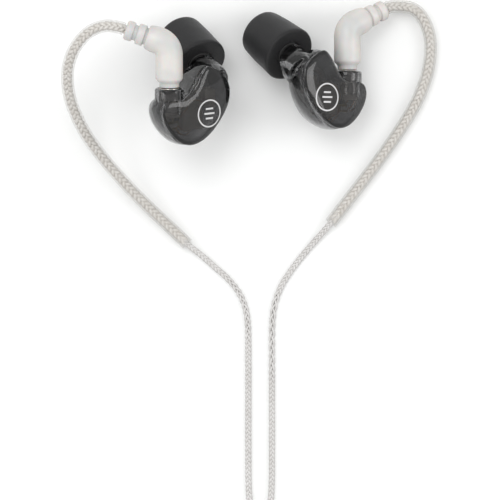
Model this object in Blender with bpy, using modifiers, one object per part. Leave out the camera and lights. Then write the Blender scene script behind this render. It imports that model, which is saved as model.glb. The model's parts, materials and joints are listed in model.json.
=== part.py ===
"""In-ear monitors with detachable over-ear cables, laid face up on a table.

Metres, +Z up. The origin is on the table under the middle of the earpieces and ear hooks.
Each earpiece is modelled in its own frame and placed by an empty on its swivel axis:
X runs from the nozzle side to the socket side, Y up the cable plug, Z out of the face plate.
"""
import math

import bmesh
import bpy
from mathutils import Matrix, Vector

MM = 0.001
TABLE_GAP = 0.00002
FIT_GAP = 0.3 * MM

# How each earpiece lies: +1 is the right one, and the left one is its mirror image.
SIDES = {"right": 1, "left": -1}
SOCKET_MOUTH = {"right": (23.2 * MM, 12.2 * MM, 8.45 * MM), "left": (-19.0 * MM, 7.7 * MM, 22.92 * MM)}
FACE_TURN = {"right": math.radians(38), "left": math.radians(35)}
PLUG_TILT = {"right": math.radians(0), "left": math.radians(11)}
LEG_DROP = {"right": math.radians(25), "left": math.radians(4)}

# Shell, in the earpiece's frame, millimetres.
FACE_OUTLINE = [
    (-9.0, 5.0), (-11.4, 4.3), (-13.4, 2.9), (-14.9, 1.0), (-15.5, -1.4), (-15.0, -4.4), (-13.1, -7.7),
    (-10.2, -10.9), (-7.2, -12.8), (-4.2, -13.4), (-1.3, -12.5), (1.3, -10.2), (3.1, -7.4), (3.7, -4.9),
    (2.9, -2.9), (0.6, -2.1), (-2.2, -1.9), (-4.3, -0.8), (-5.8, 1.2), (-7.1, 3.3),
]
OUTLINE_STEPS = 36
FACE_MIDDLE = (-6.2, -4.2)
LOBE_MIDDLE = (-4.9, -5.9)
SHELL_RINGS = [(1.7, 1.0, 0.0), (0.1, 1.03, 0.0), (-1.9, 1.03, 0.0), (-3.7, 0.97, 0.1), (-5.4, 0.83, 0.45),
               (-6.7, 0.6, 0.85), (-7.5, 0.32, 1.0)]
LOBE_RADIUS = 8.6
SHELL_WALL = 1.0
PLATE_RINGS = [(2.0, 0.97, 0.0), (2.6, 1.0, 0.0), (3.0, 0.96, 0.0), (3.35, 0.75, 0.1), (3.6, 0.4, 0.5)]
COLLAR_RADIUS = 3.5
COLLAR_TOP = 0.3
COLLAR_FOOT = -3.4
BADGE_MIDDLE = (-9.0, -6.1, 3.75)
BADGE_RADIUS = 3.4
BADGE_WIDTH = 0.4
# What the shell holds: (size, middle) of each block, and the sound tube's route.
LOW_DRIVER = ((5.6, 7.2, 3.2), (-6.3, -6.4, -1.4))
HIGH_DRIVER = ((3.2, 4.2, 2.4), (-11.1, -3.1, -1.0))
CROSSOVER_BOARD = ((2.8, 3.2, 0.7), (-1.5, -7.7, -0.9))
SOUND_TUBE_RADIUS = 0.7
SOUND_TUBE_ROUTE = [(-6.5, -2.4, -1.6), (-6.9, -0.6, -1.6), (-8.2, 0.4, -1.6), (-9.9, 0.8, -1.6)]

# Nozzle and ear tip: the tip's near face is centred on TIP_PLACE and faces back along NOZZLE_AXIS.
TIP_PLACE = (-12.9, 4.1, -5.9)
NOZZLE_AXIS = Vector((-0.06, 0.49, -0.87)).normalized()
NOZZLE_RADIUS = 2.3
NOZZLE_BORE = 1.5
NOZZLE_REAR = -5.6
NOZZLE_END = 5.2
NOZZLE_ROOT = [(0, -0.5), (3.2, -0.5), (3.5, -0.8), (3.7, -2.5), (3.6, -4.5), (3.3, -6.2), (0, -6.2)]
TIP_NEAR_RADIUS = 6.8
TIP_FAR_RADIUS = 5.8
TIP_LENGTH = 12.0

# Elbow, ear hook and cables.
ELBOW_RISE = 10.8
ELBOW_BEND = {"right": math.radians(66), "left": math.radians(72)}
ELBOW_BEND_RADIUS = 3.6
ELBOW_RADIUS = 3.2
LEG_LENGTH = 5.5
RELIEF_LENGTH = 4.9
HOOK_RADIUS = 1.5
HOOK_WALL = 0.4
HOOK_LEAD = 1.4
STRAND_RADIUS = 0.75
MAIN_RADIUS = 1.2
HOOK_ROUTE = {
    "right": [(37.0, 28.15, 3.0), (39.4, 27.5, 2.7), (41.2, 25.7, 2.25), (42.7, 22.6, 1.9), (43.3, 19.0, 1.7),
              (43.0, 14.6, 1.55), (41.8, 9.9, 1.55), (39.4, 4.4, 1.55), (35.9, -1.4, 1.55), (31.8, -7.3, 1.55),
              (27.4, -13.2, 1.55), (23.0, -18.9, 1.55), (19.3, -23.7, 1.55)],
    "left": [(-34.2, 22.6, 24.4), (-37.4, 21.5, 23.4), (-39.9, 19.4, 22.0), (-41.8, 16.6, 20.3),
             (-42.9, 13.5, 18.4), (-43.2, 10.0, 16.4), (-42.7, 5.9, 14.0), (-41.1, 1.4, 11.3),
             (-38.5, -3.5, 8.6), (-34.4, -9.0, 5.9), (-29.2, -14.9, 3.7), (-23.5, -20.6, 2.3),
             (-18.3, -25.5, 1.65), (-15.0, -28.7, 1.55)],
}
STRAND_ROUTE = {
    "right": [(15.9, -27.6, 0.95), (12.5, -31.6, 0.8), (9.6, -35.4, 0.8), (7.3, -39.2, 0.8), (5.9, -43.2, 0.8),
              (5.3, -48.0, 0.8), (5.25, -56.0, 0.8), (5.25, -66.0, 0.8), (5.25, -76.0, 0.8), (5.2, -86.0, 0.8),
              (4.7, -92.5, 0.9), (3.7, -97.5, 1.2), (3.45, -101.0, 1.3), (3.45, -108.0, 1.3),
              (3.45, -115.0, 1.3), (3.45, -120.5, 1.3), (3.45, -125.6, 1.3)],
    "left": [(-11.6, -31.4, 0.95), (-8.3, -34.3, 0.8), (-5.2, -37.1, 0.8), (-2.7, -40.3, 0.8),
             (-1.1, -44.0, 0.8), (-0.5, -48.6, 0.8), (-0.4, -56.0, 0.8), (-0.4, -66.0, 0.8), (-0.4, -76.0, 0.8),
             (-0.35, -86.0, 0.8), (0.15, -92.5, 0.9), (1.1, -97.5, 1.2), (1.35, -101.0, 1.3),
             (1.35, -108.0, 1.3), (1.35, -115.0, 1.3), (1.35, -123.0, 1.3)],
}
STRAND_COIL_MIDDLE = (-6.6, -132.8)
STRAND_COIL_RADIUS = 9.0
STRAND_COIL_BAND = (5.0, 4.8)
SLIDER_PLACE = (2.4, -117.0, 1.3)
SLIDER_SIZE = (6.4, 7.0, 2.56)
SLIDER_TRAVEL = 12.0
SPLITTER_START = (-14.8, -143.4, 2.05)
SPLITTER_LENGTH = 10.0
MAIN_COIL_MIDDLE = (-40.6, -128.8)
MAIN_COIL_RADIUS = 13.0
MAIN_COIL_BAND = (10.0, 9.8)
MAIN_COIL_FLOOR = 0.8
JACK_START = (-39.8, -159.0, 3.4)
TAIL_ROUTE = [(-44.4, -148.4, 1.4), (-47.9, -148.9, 1.25), (-50.8, -151.1, 1.4), (-51.4, -154.7, 1.9),
              (-49.2, -157.8, 2.7), (-45.0, -158.9, 3.3), (-40.2, -159.0, 3.4)]

MATERIALS = {
    # name: (colour, roughness, metallic)
    "smoke_plastic": ((0.10, 0.10, 0.10), 0.12, 0.0),
    "badge_print": ((0.62, 0.62, 0.62), 0.35, 0.0),
    "nozzle_plastic": ((0.03, 0.03, 0.03), 0.4, 0.0),
    "filter_mesh": ((0.55, 0.55, 0.56), 0.35, 1.0),
    "ear_foam": ((0.022, 0.022, 0.022), 0.75, 0.0),
    "tip_core_rubber": ((0.05, 0.05, 0.05), 0.5, 0.0),
    "nickel": ((0.78, 0.75, 0.70), 0.25, 1.0),
    "gold": ((0.85, 0.65, 0.32), 0.25, 1.0),
    "driver_steel": ((0.42, 0.38, 0.33), 0.4, 1.0),
    "circuit_board": ((0.16, 0.12, 0.06), 0.5, 0.0),
    "sound_tube_clear": ((0.65, 0.63, 0.58), 0.3, 0.0),
    "frosted_elbow": ((0.80, 0.78, 0.75), 0.35, 0.0),
    "clear_sleeve": ((0.84, 0.82, 0.78), 0.15, 0.0),
    "plaited_cable": ((0.76, 0.72, 0.67), 0.35, 0.0),
    "tie_fabric": ((0.05, 0.05, 0.05), 0.9, 0.0),
}


def make_materials():
    made = {}
    for name, (colour, roughness, metallic) in MATERIALS.items():
        material = bpy.data.materials.new(name)
        material.use_nodes = True
        shader = material.node_tree.nodes["Principled BSDF"]
        shader.inputs["Base Color"].default_value = (*colour, 1)
        shader.inputs["Roughness"].default_value = roughness
        shader.inputs["Metallic"].default_value = metallic
        made[name] = material
    return made


def clear_scene():
    for item in list(bpy.data.objects):
        bpy.data.objects.remove(item)


def make_collection(name):
    collection = bpy.data.collections.new(name)
    bpy.context.scene.collection.children.link(collection)
    return collection


def add_object(name, data, material, parent=None, matrix=None):
    """Puts mesh or curve data in the parts collection, placed by matrix in its parent's frame."""
    made = bpy.data.objects.new(name, data)
    parts.objects.link(made)
    if material:
        data.materials.append(materials[material])
    if parent:
        made.parent = parent
    if matrix:
        made.matrix_local = matrix
    return made


def add_cutter(name, data, parent=None, matrix=None):
    made = add_object(name, data, None, parent, matrix)
    parts.objects.unlink(made)
    cutters.objects.link(made)
    made.hide_render = True
    made.display_type = "WIRE"
    return made


def cut(target, tool, operation="DIFFERENCE"):
    boolean = target.modifiers.new(operation.lower(), "BOOLEAN")
    boolean.object = tool
    boolean.operation = operation
    boolean.solver = "EXACT"


def smooth_shading(mesh, angle=35):
    mesh.shade_smooth()
    mesh.set_sharp_from_angle(angle=math.radians(angle))


def catmull(p0, p1, p2, p3, part):
    """A point on the smooth curve from p1 to p2."""
    return 0.5 * (
        2 * p1
        + (p2 - p0) * part
        + (2 * p0 - 5 * p1 + 4 * p2 - p3) * part ** 2
        + (3 * p1 - p0 - 3 * p2 + p3) * part ** 3
    )


def evenly(points, count):
    """count points, equally far apart along a fine polyline, both ends included."""
    lengths = [0.0]
    for a, b in zip(points, points[1:]):
        lengths.append(lengths[-1] + (b - a).length)
    spaced = []
    index = 0
    for step in range(count):
        wanted = lengths[-1] * step / (count - 1)
        while index < len(points) - 2 and lengths[index + 1] < wanted:
            index += 1
        span = lengths[index + 1] - lengths[index]
        spaced.append(points[index].lerp(points[index + 1], (wanted - lengths[index]) / span))
    return spaced


def smooth_route(route, spacing):
    """Points every spacing metres or so along the smooth curve through a route."""
    ends = [2 * route[0] - route[1], *route, 2 * route[-1] - route[-2]]
    fine = []
    for i in range(len(route) - 1):
        for step in range(12):
            fine.append(catmull(*ends[i:i + 4], step / 12))
    fine.append(route[-1])
    length = sum((b - a).length for a, b in zip(fine, fine[1:]))
    return evenly(fine, max(3, round(length / spacing) + 1))


def smooth_loop(outline, count):
    """count points along the smooth closed curve through an outline of 2D points."""
    corners = [Vector((x, y, 0)) for x, y in outline]
    fine = []
    for i in range(len(corners)):
        around = [corners[(i + k - 1) % len(corners)] for k in range(4)]
        for step in range(12):
            fine.append(catmull(*around, step / 12))
    fine.append(fine[0])
    return evenly(fine, count + 1)[:-1]


def turned(name, profile, material, parent=None, matrix=None, steps=16, hollow=False, cutter=False):
    """A shape turned about its own Z. The profile lists (radius, z) in millimetres, down its outer side."""
    mesh = bpy.data.meshes.new(name)
    points = [(radius * MM, 0, z * MM) for radius, z in profile]
    edges = [(i, i + 1) for i in range(len(points) - 1)]
    if hollow:
        edges.append((len(points) - 1, 0))
    mesh.from_pydata(points, edges, [])
    made = add_cutter(name, mesh, parent, matrix) if cutter else add_object(name, mesh, material, parent, matrix)
    screw = made.modifiers.new("turn", "SCREW")
    screw.steps = steps
    screw.render_steps = steps
    screw.use_merge_vertices = True
    screw.merge_threshold = 0.000005
    screw.use_smooth_shade = True
    return made


def tube(name, points, radius, material, radii=None, resolution=2, parent=None):
    """A capped round tube along points, in metres, whose radius may change from point to point."""
    curve = bpy.data.curves.new(name, "CURVE")
    curve.dimensions = "3D"
    curve.bevel_depth = radius
    curve.bevel_resolution = resolution
    curve.use_fill_caps = True
    spline = curve.splines.new("POLY")
    spline.points.add(len(points) - 1)
    for i, place in enumerate(points):
        spline.points[i].co = (*place, 1)
        spline.points[i].radius = radii[i] if radii else 1.0
    return add_object(name, curve, material, parent)


def block(name, size, place, material, parent, bevel=0.3):
    """A box with rounded edges, sizes in millimetres."""
    mesh = bpy.data.meshes.new(name)
    shape = bmesh.new()
    bmesh.ops.create_cube(shape, size=1)
    bmesh.ops.scale(shape, vec=Vector(size) * MM, verts=shape.verts)
    shape.to_mesh(mesh)
    shape.free()
    made = add_object(name, mesh, material, parent, Matrix.Translation(Vector(place) * MM))
    rounding = made.modifiers.new("edges", "BEVEL")
    rounding.width = bevel * MM
    rounding.segments = 1
    return made


def along(direction, place, scale=MM):
    """The matrix that takes Z to a direction and the origin to a place."""
    turn = Vector((0, 0, 1)).rotation_difference(Vector(direction)).to_matrix().to_4x4()
    return Matrix.Translation(Vector(place) * scale) @ turn


def ring_points(depth, size, roundness, inset=0.0):
    """One closed section of the shell: the face outline, shrunk and rounded towards the inner lobe."""
    middle = Vector((*FACE_MIDDLE, 0)).lerp(Vector((*LOBE_MIDDLE, 0)), roundness)
    base = Vector((*FACE_MIDDLE, 0))
    points = []
    for corner in smooth_loop(FACE_OUTLINE, OUTLINE_STEPS):
        reach = corner - base
        round_reach = reach.normalized() * LOBE_RADIUS
        spoke = reach.lerp(round_reach, roundness) * size
        spoke = spoke * (1 - inset / spoke.length)
        points.append((middle + spoke + Vector((0, 0, depth))) * MM)
    return points


def lofted(name, rings, side, material, parent, cutter=False):
    """A closed skin over sections with the same number of points, mirrored for the left side."""
    mesh = bpy.data.meshes.new(name)
    shape = bmesh.new()
    rows = []
    for ring in rings:
        rows.append([shape.verts.new((side * p.x, p.y, p.z)) for p in ring])
    count = len(rows[0])
    for front, back in zip(rows, rows[1:]):
        for i in range(count):
            j = (i + 1) % count
            shape.faces.new((front[i], front[j], back[j], back[i]))
    shape.faces.new(rows[0])
    shape.faces.new(rows[-1])
    bmesh.ops.recalc_face_normals(shape, faces=shape.faces)
    shape.to_mesh(mesh)
    shape.free()
    smooth_shading(mesh, 40)
    return add_cutter(name, mesh, parent) if cutter else add_object(name, mesh, material, parent)


def mirrored(place, side):
    return Vector((side * place[0], place[1], place[2]))


def make_earpiece(prefix, side, frame):
    """Shell, cover, drivers, socket, nozzle and ear tip, in the earpiece's frame."""
    up = (0, 1, 0)
    nozzle_axis = mirrored(NOZZLE_AXIS, side)
    tip_place = mirrored(TIP_PLACE, side)
    nozzle_frame = along(nozzle_axis, tip_place)
    plug_frame = along(up, (0, 0, 0))

    shell = lofted(prefix + "_shell", [ring_points(*ring) for ring in SHELL_RINGS], side, "smoke_plastic", frame)
    hollow_rings = [ring_points(depth, size, roundness, SHELL_WALL) for depth, size, roundness in SHELL_RINGS[:-1]]
    hollow_rings[0] = [p + Vector((0, 0, 1.0 * MM)) for p in hollow_rings[0]]
    hollow = lofted(prefix + "_shell_hollow", hollow_rings, side, None, frame, cutter=True)
    root = turned(prefix + "_nozzle_root", NOZZLE_ROOT, None, frame, nozzle_frame, 20, cutter=True)
    collar_profile = [(0, COLLAR_TOP), (COLLAR_RADIUS - 0.3, COLLAR_TOP), (COLLAR_RADIUS, COLLAR_TOP - 0.3),
                      (COLLAR_RADIUS, COLLAR_FOOT), (0, COLLAR_FOOT)]
    collar = turned(prefix + "_collar", collar_profile, None, frame, plug_frame, 24, cutter=True)
    nozzle_hole = turned(prefix + "_nozzle_hole", [(0, 3.0), (2.5, 3.0), (2.5, -7.0), (0, -7.0)], None, frame,
                         nozzle_frame, 16, cutter=True)
    socket_hole = turned(prefix + "_socket_hole", [(0, 1.0), (2.65, 1.0), (2.65, -6.0), (0, -6.0)], None, frame,
                         plug_frame, 16, cutter=True)
    cut(shell, root, "UNION")
    cut(shell, hollow)
    cut(shell, collar, "UNION")
    cut(shell, nozzle_hole)
    cut(shell, socket_hole)

    plate = lofted(prefix + "_face_plate", [ring_points(*ring) for ring in PLATE_RINGS], side, "smoke_plastic", frame)
    space_profile = [(0, 1.0), (3.85, 1.0), (3.85, -3.9), (2.65, -4.1), (2.65, -5.8), (0, -5.8)]
    collar_space = turned(prefix + "_collar_space", space_profile, None, frame, plug_frame, 24, cutter=True)
    cut(plate, collar_space)

    ring = [(BADGE_RADIUS, 0.2), (BADGE_RADIUS, 0), (BADGE_RADIUS - BADGE_WIDTH, 0), (BADGE_RADIUS - BADGE_WIDTH, 0.2)]
    turned(prefix + "_badge", ring, "badge_print", frame, along((0, 0, 1), mirrored(BADGE_MIDDLE, side)), 24, True)

    turned(prefix + "_nozzle", [(NOZZLE_BORE, NOZZLE_END), (NOZZLE_RADIUS, NOZZLE_END), (2.45, 4.9), (2.45, 4.4),
           (NOZZLE_RADIUS, 4.1), (NOZZLE_RADIUS, NOZZLE_REAR), (NOZZLE_BORE, NOZZLE_REAR)],
           "nozzle_plastic", frame, nozzle_frame, 16, True)
    turned(prefix + "_nozzle_filter", [(0, 4.9), (1.38, 4.9), (1.38, 4.6), (0, 4.6)], "filter_mesh", frame,
           nozzle_frame, 16)
    turned(prefix + "_tip_core", [(2.6, 8.0), (3.0, 8.0), (3.0, 0.15), (2.6, 0.15)], "tip_core_rubber", frame,
           nozzle_frame, 16, True)
    foam = [(2.3, TIP_LENGTH), (4.7, TIP_LENGTH), (5.4, TIP_LENGTH - 0.25), (TIP_FAR_RADIUS, TIP_LENGTH - 1.0),
            (6.15, 8.4), (6.55, 4.0), (TIP_NEAR_RADIUS, 0.5), (6.6, 0.1), (6.3, 0), (3.15, 0), (3.15, 8.2), (2.3, 8.2)]
    turned(prefix + "_foam_tip", foam, "ear_foam", frame, nozzle_frame, 28, True)

    turned(prefix + "_socket", [(1.7, -0.7), (2.35, -0.7), (2.35, -5.2), (0.95, -5.2), (0.95, -4.5), (1.7, -4.5)],
           "nickel", frame, plug_frame, 16, True)
    turned(prefix + "_socket_contact", [(0, -4.0), (0.42, -4.0), (0.42, -2.0), (0.6, -2.0), (0.6, -4.2), (0.8, -4.4),
           (0.8, -5.6), (0, -5.6)], "gold", frame, plug_frame, 12)
    block(prefix + "_low_driver", LOW_DRIVER[0], mirrored(LOW_DRIVER[1], side), "driver_steel", frame)
    block(prefix + "_high_driver", HIGH_DRIVER[0], mirrored(HIGH_DRIVER[1], side), "driver_steel", frame)
    block(prefix + "_crossover_board", CROSSOVER_BOARD[0], mirrored(CROSSOVER_BOARD[1], side), "circuit_board",
          frame, 0.1)
    sound_route = [mirrored(p, side) * MM for p in SOUND_TUBE_ROUTE]
    tube(prefix + "_sound_tube", smooth_route(sound_route, 0.8 * MM), SOUND_TUBE_RADIUS * MM, "sound_tube_clear",
         parent=frame)


def make_plug(prefix, plug):
    """The metal end of the detachable cable, in the plug's frame: Y up the plug, the socket's mouth at 0."""
    upright = along((0, 1, 0), (0, 0, 0))
    turned(prefix + "_plug_barrel", [(0.75, 0.45), (2.2, 0.45), (2.4, 0.3), (2.4, -0.2), (1.6, -0.3), (1.1, -0.3),
           (1.1, -2.9), (0.75, -2.9)], "nickel", plug, upright, 16, True)
    turned(prefix + "_plug_pin", [(0, 0.4), (0.6, 0.4), (0.6, -1.0), (0.25, -1.3), (0.25, -3.5), (0, -3.6)], "gold",
           plug, upright, 12)
    ring = [Vector((math.sin(a) * 1.38, -1.6, math.cos(a) * 1.38)) * MM for a in
            (math.radians(20 + 320 * i / 20) for i in range(21))]
    tube(prefix + "_snap_ring", ring, 0.13 * MM, "nickel", resolution=1, parent=plug)


def leg_direction(prefix, side):
    """Where the elbow's leg points: bent away from the plug's axis and dropped towards the table."""
    drop = LEG_DROP[prefix]
    bend = ELBOW_BEND[prefix]
    level = math.sin(bend)
    leg = Vector((side * level * math.cos(drop), math.cos(bend), -level * math.sin(drop)))
    return Matrix.Rotation(PLUG_TILT[prefix], 3, "X") @ leg


def make_elbow(prefix, side, mouth):
    """The moulded elbow, its ribbed strain relief, the ear hook and the cable in it. Gives the hook's start."""
    rise = Matrix.Rotation(PLUG_TILT[prefix], 3, "X") @ Vector((0, 1, 0))
    leg = leg_direction(prefix, side)
    corner = mouth + rise * ELBOW_RISE * MM
    bend = ELBOW_BEND[prefix]
    trim = ELBOW_BEND_RADIUS * math.tan(bend / 2)
    points = [mouth + rise * h * MM for h in (0.75, 1.7, 2.5, 4.0)]
    radii = [0.74, 0.74, 1.0, 1.0]
    bend_steps = 6
    for step in range(bend_steps + 1):
        turn = bend * step / bend_steps
        side_way = (leg - rise * math.cos(bend)).normalized()
        before = corner - rise * trim * MM
        offset = rise * math.sin(turn) + side_way * (1 - math.cos(turn))
        points.append(before + offset * ELBOW_BEND_RADIUS * MM)
        radii.append(1.0)
    points.append(corner + leg * (LEG_LENGTH - 2.2) * MM)
    points.append(corner + leg * LEG_LENGTH * MM)
    radii += [0.88, 0.8]
    tube(prefix + "_elbow", points, ELBOW_RADIUS * MM, "frosted_elbow", radii, 4)

    ribs = [(0, RELIEF_LENGTH), (1.9, RELIEF_LENGTH), (2.3, 4.5), (2.3, 3.1), (1.85, 2.95), (1.85, 2.15), (2.5, 2.0),
            (2.5, 0.4), (2.2, 0), (0, 0)]
    relief_start = corner + leg * (LEG_LENGTH + 0.3) * MM
    turned(prefix + "_strain_relief", ribs, "frosted_elbow", None, along(leg, relief_start, 1), 16)

    hook_start = relief_start + leg * (RELIEF_LENGTH + 0.5) * MM
    route = [hook_start, hook_start + leg * HOOK_LEAD * MM, *(Vector(p) * MM for p in HOOK_ROUTE[prefix])]
    spine = smooth_route(route, 3.0 * MM)
    tube(prefix + "_hook_core", spine, (HOOK_RADIUS - HOOK_WALL - 0.15) * MM, "plaited_cable", resolution=1)
    make_sleeve(prefix + "_ear_hook", spine)

    away = (spine[-1] - spine[-2]).normalized()
    start = spine[-1] + away * FIT_GAP
    strand = smooth_route([start, *(Vector(p) * MM for p in STRAND_ROUTE[prefix])], 2.4 * MM)
    tube(prefix + "_cable", strand, STRAND_RADIUS * MM, "plaited_cable")


def make_sleeve(name, spine):
    """A thin-walled tube: an open tube round the spine, thickened inwards."""
    pipe = tube(name + "_skin", spine, HOOK_RADIUS * MM, None, resolution=2)
    pipe.data.use_fill_caps = False
    seen = pipe.evaluated_get(bpy.context.evaluated_depsgraph_get())
    mesh = bpy.data.meshes.new_from_object(seen)
    mesh.name = name
    bpy.data.objects.remove(pipe)
    smooth_shading(mesh)
    made = add_object(name, mesh, "clear_sleeve")
    wall = made.modifiers.new("wall", "SOLIDIFY")
    wall.thickness = HOOK_WALL * MM
    wall.offset = -1
    return made


def ring_band(name, middle, radius, band, floor, material, corner=0.8):
    """A coil's outer shape: a ring with a rounded rectangular section standing on floor."""
    wide, high = band[0] / 2, band[1]
    outer, inner = radius + wide, radius - wide
    profile = [(outer, high - corner), (outer, corner), (outer - corner, 0), (inner + corner, 0), (inner, corner),
               (inner, high - corner), (inner + corner, high), (outer - corner, high)]
    place = Matrix.Translation(Vector((middle[0], middle[1], floor)) * MM)
    return turned(name, profile, material, None, place, 32, True)


def make_slider():
    """The bead that draws the two strands together under the chin: two bores, one for each strand."""
    size = SLIDER_SIZE
    slider = block("chin_slider", size, SLIDER_PLACE, "frosted_elbow", None, 0.6)
    for side, offset in (("right", 1.05), ("left", -1.05)):
        place = Vector(SLIDER_PLACE) + Vector((offset, -size[1], 0))
        bore = turned(side + "_slider_bore", [(0, 2 * size[1]), (0.9, 2 * size[1]), (0.9, 0), (0, 0)], None, None,
                      along((0, 1, 0), place), 12, cutter=True)
        cut(slider, bore)


def make_splitter():
    """The moulding where both strands become the main cable, with its axis along -X."""
    length = SPLITTER_LENGTH
    profile = [(0, 0), (1.9, 0), (2.0, -0.4), (1.85, -length * 0.6), (1.5, -length + 0.4), (1.35, -length),
               (0, -length)]
    turned("y_splitter", profile, "frosted_elbow", None, along((1, 0, 0), SPLITTER_START), 16)


def make_main_cable():
    ring_band("strand_coil", STRAND_COIL_MIDDLE, STRAND_COIL_RADIUS, STRAND_COIL_BAND, TABLE_GAP / MM,
              "plaited_cable")
    ring_band("main_coil", MAIN_COIL_MIDDLE, MAIN_COIL_RADIUS, MAIN_COIL_BAND, MAIN_COIL_FLOOR, "plaited_cable", 1.2)
    start = Vector(SPLITTER_START) + Vector((-SPLITTER_LENGTH - 0.3, 0, 0))
    lead = smooth_route([p * MM for p in (start, start + Vector((-1.5, 0, 0)), start + Vector((-3.0, 0, 0)))],
                        1.4 * MM)
    tube("main_lead", lead, MAIN_RADIUS * MM, "plaited_cable")
    tail = smooth_route([Vector(p) * MM for p in TAIL_ROUTE], 2.6 * MM)
    tube("main_tail", tail, MAIN_RADIUS * MM, "plaited_cable")


def make_tie():
    """A strap round the main coil's band, at the side away from the strand coil."""
    wide, high = MAIN_COIL_BAND[0] / 2 + 0.45, MAIN_COIL_BAND[1] / 2 + 0.2
    thick, width = 0.45, 3.6
    mesh = bpy.data.meshes.new("cable_tie")
    shape = bmesh.new()
    for grow in (0, thick):
        corners = [(wide + grow, high + grow), (-wide - grow, high + grow), (-wide - grow, -high - grow),
                   (wide + grow, -high - grow)]
        for y in (-width / 2, width / 2):
            for x, z in corners:
                shape.verts.new(Vector((x, y, z)) * MM)
    shape.verts.ensure_lookup_table()
    inner_a, inner_b, outer_a, outer_b = (shape.verts[i:i + 4] for i in (0, 4, 8, 12))
    for i in range(4):
        j = (i + 1) % 4
        shape.faces.new((inner_a[i], inner_a[j], inner_b[j], inner_b[i]))
        shape.faces.new((outer_a[i], outer_a[j], outer_b[j], outer_b[i]))
        shape.faces.new((inner_a[i], inner_a[j], outer_a[j], outer_a[i]))
        shape.faces.new((inner_b[i], inner_b[j], outer_b[j], outer_b[i]))
    bmesh.ops.recalc_face_normals(shape, faces=shape.faces)
    shape.to_mesh(mesh)
    shape.free()
    angle = math.radians(100)
    radial = Vector((math.cos(angle), math.sin(angle), 0))
    middle = Vector((*MAIN_COIL_MIDDLE, MAIN_COIL_FLOOR + MAIN_COIL_BAND[1] / 2)) + radial * MAIN_COIL_RADIUS
    place = Matrix.Translation(middle * MM) @ Matrix.Rotation(angle, 4, "Z")
    add_object("cable_tie", mesh, "tie_fabric", None, place)


def make_jack():
    """The 3.5 mm plug on the far end, lying with its tip towards +X. Stages run from the cable to the tip."""
    lying = along((1, 0, 0), JACK_START)

    def stage(name, profile, material, hollow=False):
        turned(name, profile, material, None, lying, 20 if "housing" in name else 16, hollow)

    stage("jack_relief", [(0, 7.0), (2.4, 7.0), (2.3, 5.4), (1.9, 5.2), (2.1, 3.9), (1.7, 3.7), (1.9, 2.4),
                          (1.5, 2.2), (1.6, 0), (0, 0)], "frosted_elbow")
    stage("jack_housing", [(0, 21.0), (2.9, 21.0), (3.2, 20.6), (3.35, 19.0), (3.35, 8.4), (3.0, 7.3), (0, 7.3)],
          "frosted_elbow")
    stage("jack_sleeve", [(0, 27.6), (1.75, 27.6), (1.75, 22.2), (2.5, 22.0), (2.5, 21.3), (0, 21.3)], "gold")
    stage("jack_insulator_rear", [(0, 28.1), (1.7, 28.1), (1.7, 27.7), (0, 27.7)], "nozzle_plastic")
    stage("jack_ring", [(0, 30.4), (1.75, 30.4), (1.75, 28.2), (0, 28.2)], "gold")
    stage("jack_insulator_front", [(0, 30.9), (1.7, 30.9), (1.7, 30.5), (0, 30.5)], "nozzle_plastic")
    stage("jack_tip", [(0, 35.2), (0.5, 35.1), (1.6, 33.5), (1.7, 33.0), (1.25, 32.3), (1.7, 31.5), (1.7, 31.0),
                       (0, 31.0)], "gold")


clear_scene()
materials = make_materials()
parts = make_collection("in_ear_monitors")
cutters = make_collection("cutters")

for prefix, side in SIDES.items():
    mouth = Vector(SOCKET_MOUTH[prefix])
    plug = bpy.data.objects.new(prefix + "_plug_axis", None)
    plug.matrix_world = Matrix.Translation(mouth) @ Matrix.Rotation(PLUG_TILT[prefix], 4, "X")
    parts.objects.link(plug)
    frame = bpy.data.objects.new(prefix + "_swivel", None)
    frame.parent = plug
    frame.matrix_local = Matrix.Rotation(FACE_TURN[prefix], 4, "Y")
    parts.objects.link(frame)
    make_earpiece(prefix, side, frame)
    make_plug(prefix, plug)
    make_elbow(prefix, side, mouth)

make_slider()
make_splitter()
make_main_cable()
make_tie()
make_jack()
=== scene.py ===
import json
import math

import bmesh
import bpy
import numpy as np
from mathutils import Matrix, Vector
from mathutils.bvhtree import BVHTree


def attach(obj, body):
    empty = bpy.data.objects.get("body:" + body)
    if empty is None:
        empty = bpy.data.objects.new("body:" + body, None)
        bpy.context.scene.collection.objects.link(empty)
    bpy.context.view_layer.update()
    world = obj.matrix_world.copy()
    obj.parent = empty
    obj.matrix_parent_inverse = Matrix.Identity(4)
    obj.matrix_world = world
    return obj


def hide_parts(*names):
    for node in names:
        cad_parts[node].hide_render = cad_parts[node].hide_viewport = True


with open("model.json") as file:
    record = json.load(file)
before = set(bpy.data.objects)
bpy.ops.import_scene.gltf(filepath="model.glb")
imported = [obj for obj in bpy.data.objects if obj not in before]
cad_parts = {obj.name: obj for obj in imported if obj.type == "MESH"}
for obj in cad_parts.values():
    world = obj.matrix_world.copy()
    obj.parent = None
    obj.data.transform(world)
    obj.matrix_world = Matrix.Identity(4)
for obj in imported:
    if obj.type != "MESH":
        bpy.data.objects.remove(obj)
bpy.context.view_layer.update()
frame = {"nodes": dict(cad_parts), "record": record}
mm = 0.001
jointOf = {joint["name"]: joint for joint in frame["record"]["behaviour"]["joints"]}
print("frame loaded:", len(frame["nodes"]), "nodes")

# The camera looks straight down on the table.
view = {"height": 1.2, "alongTable": -0.0301, "width": 0.12, "sensor": 36.0}
cameraData = bpy.data.cameras.new("tableCamera")
cameraData.sensor_width = view["sensor"]
cameraData.lens = view["sensor"] * view["height"] / view["width"]
cameraData.clip_end = 20
camera = bpy.data.objects.new("tableCamera", cameraData)
camera.location = (0, view["alongTable"], view["height"])
bpy.context.scene.collection.objects.link(camera)
bpy.context.scene.camera = camera


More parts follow.
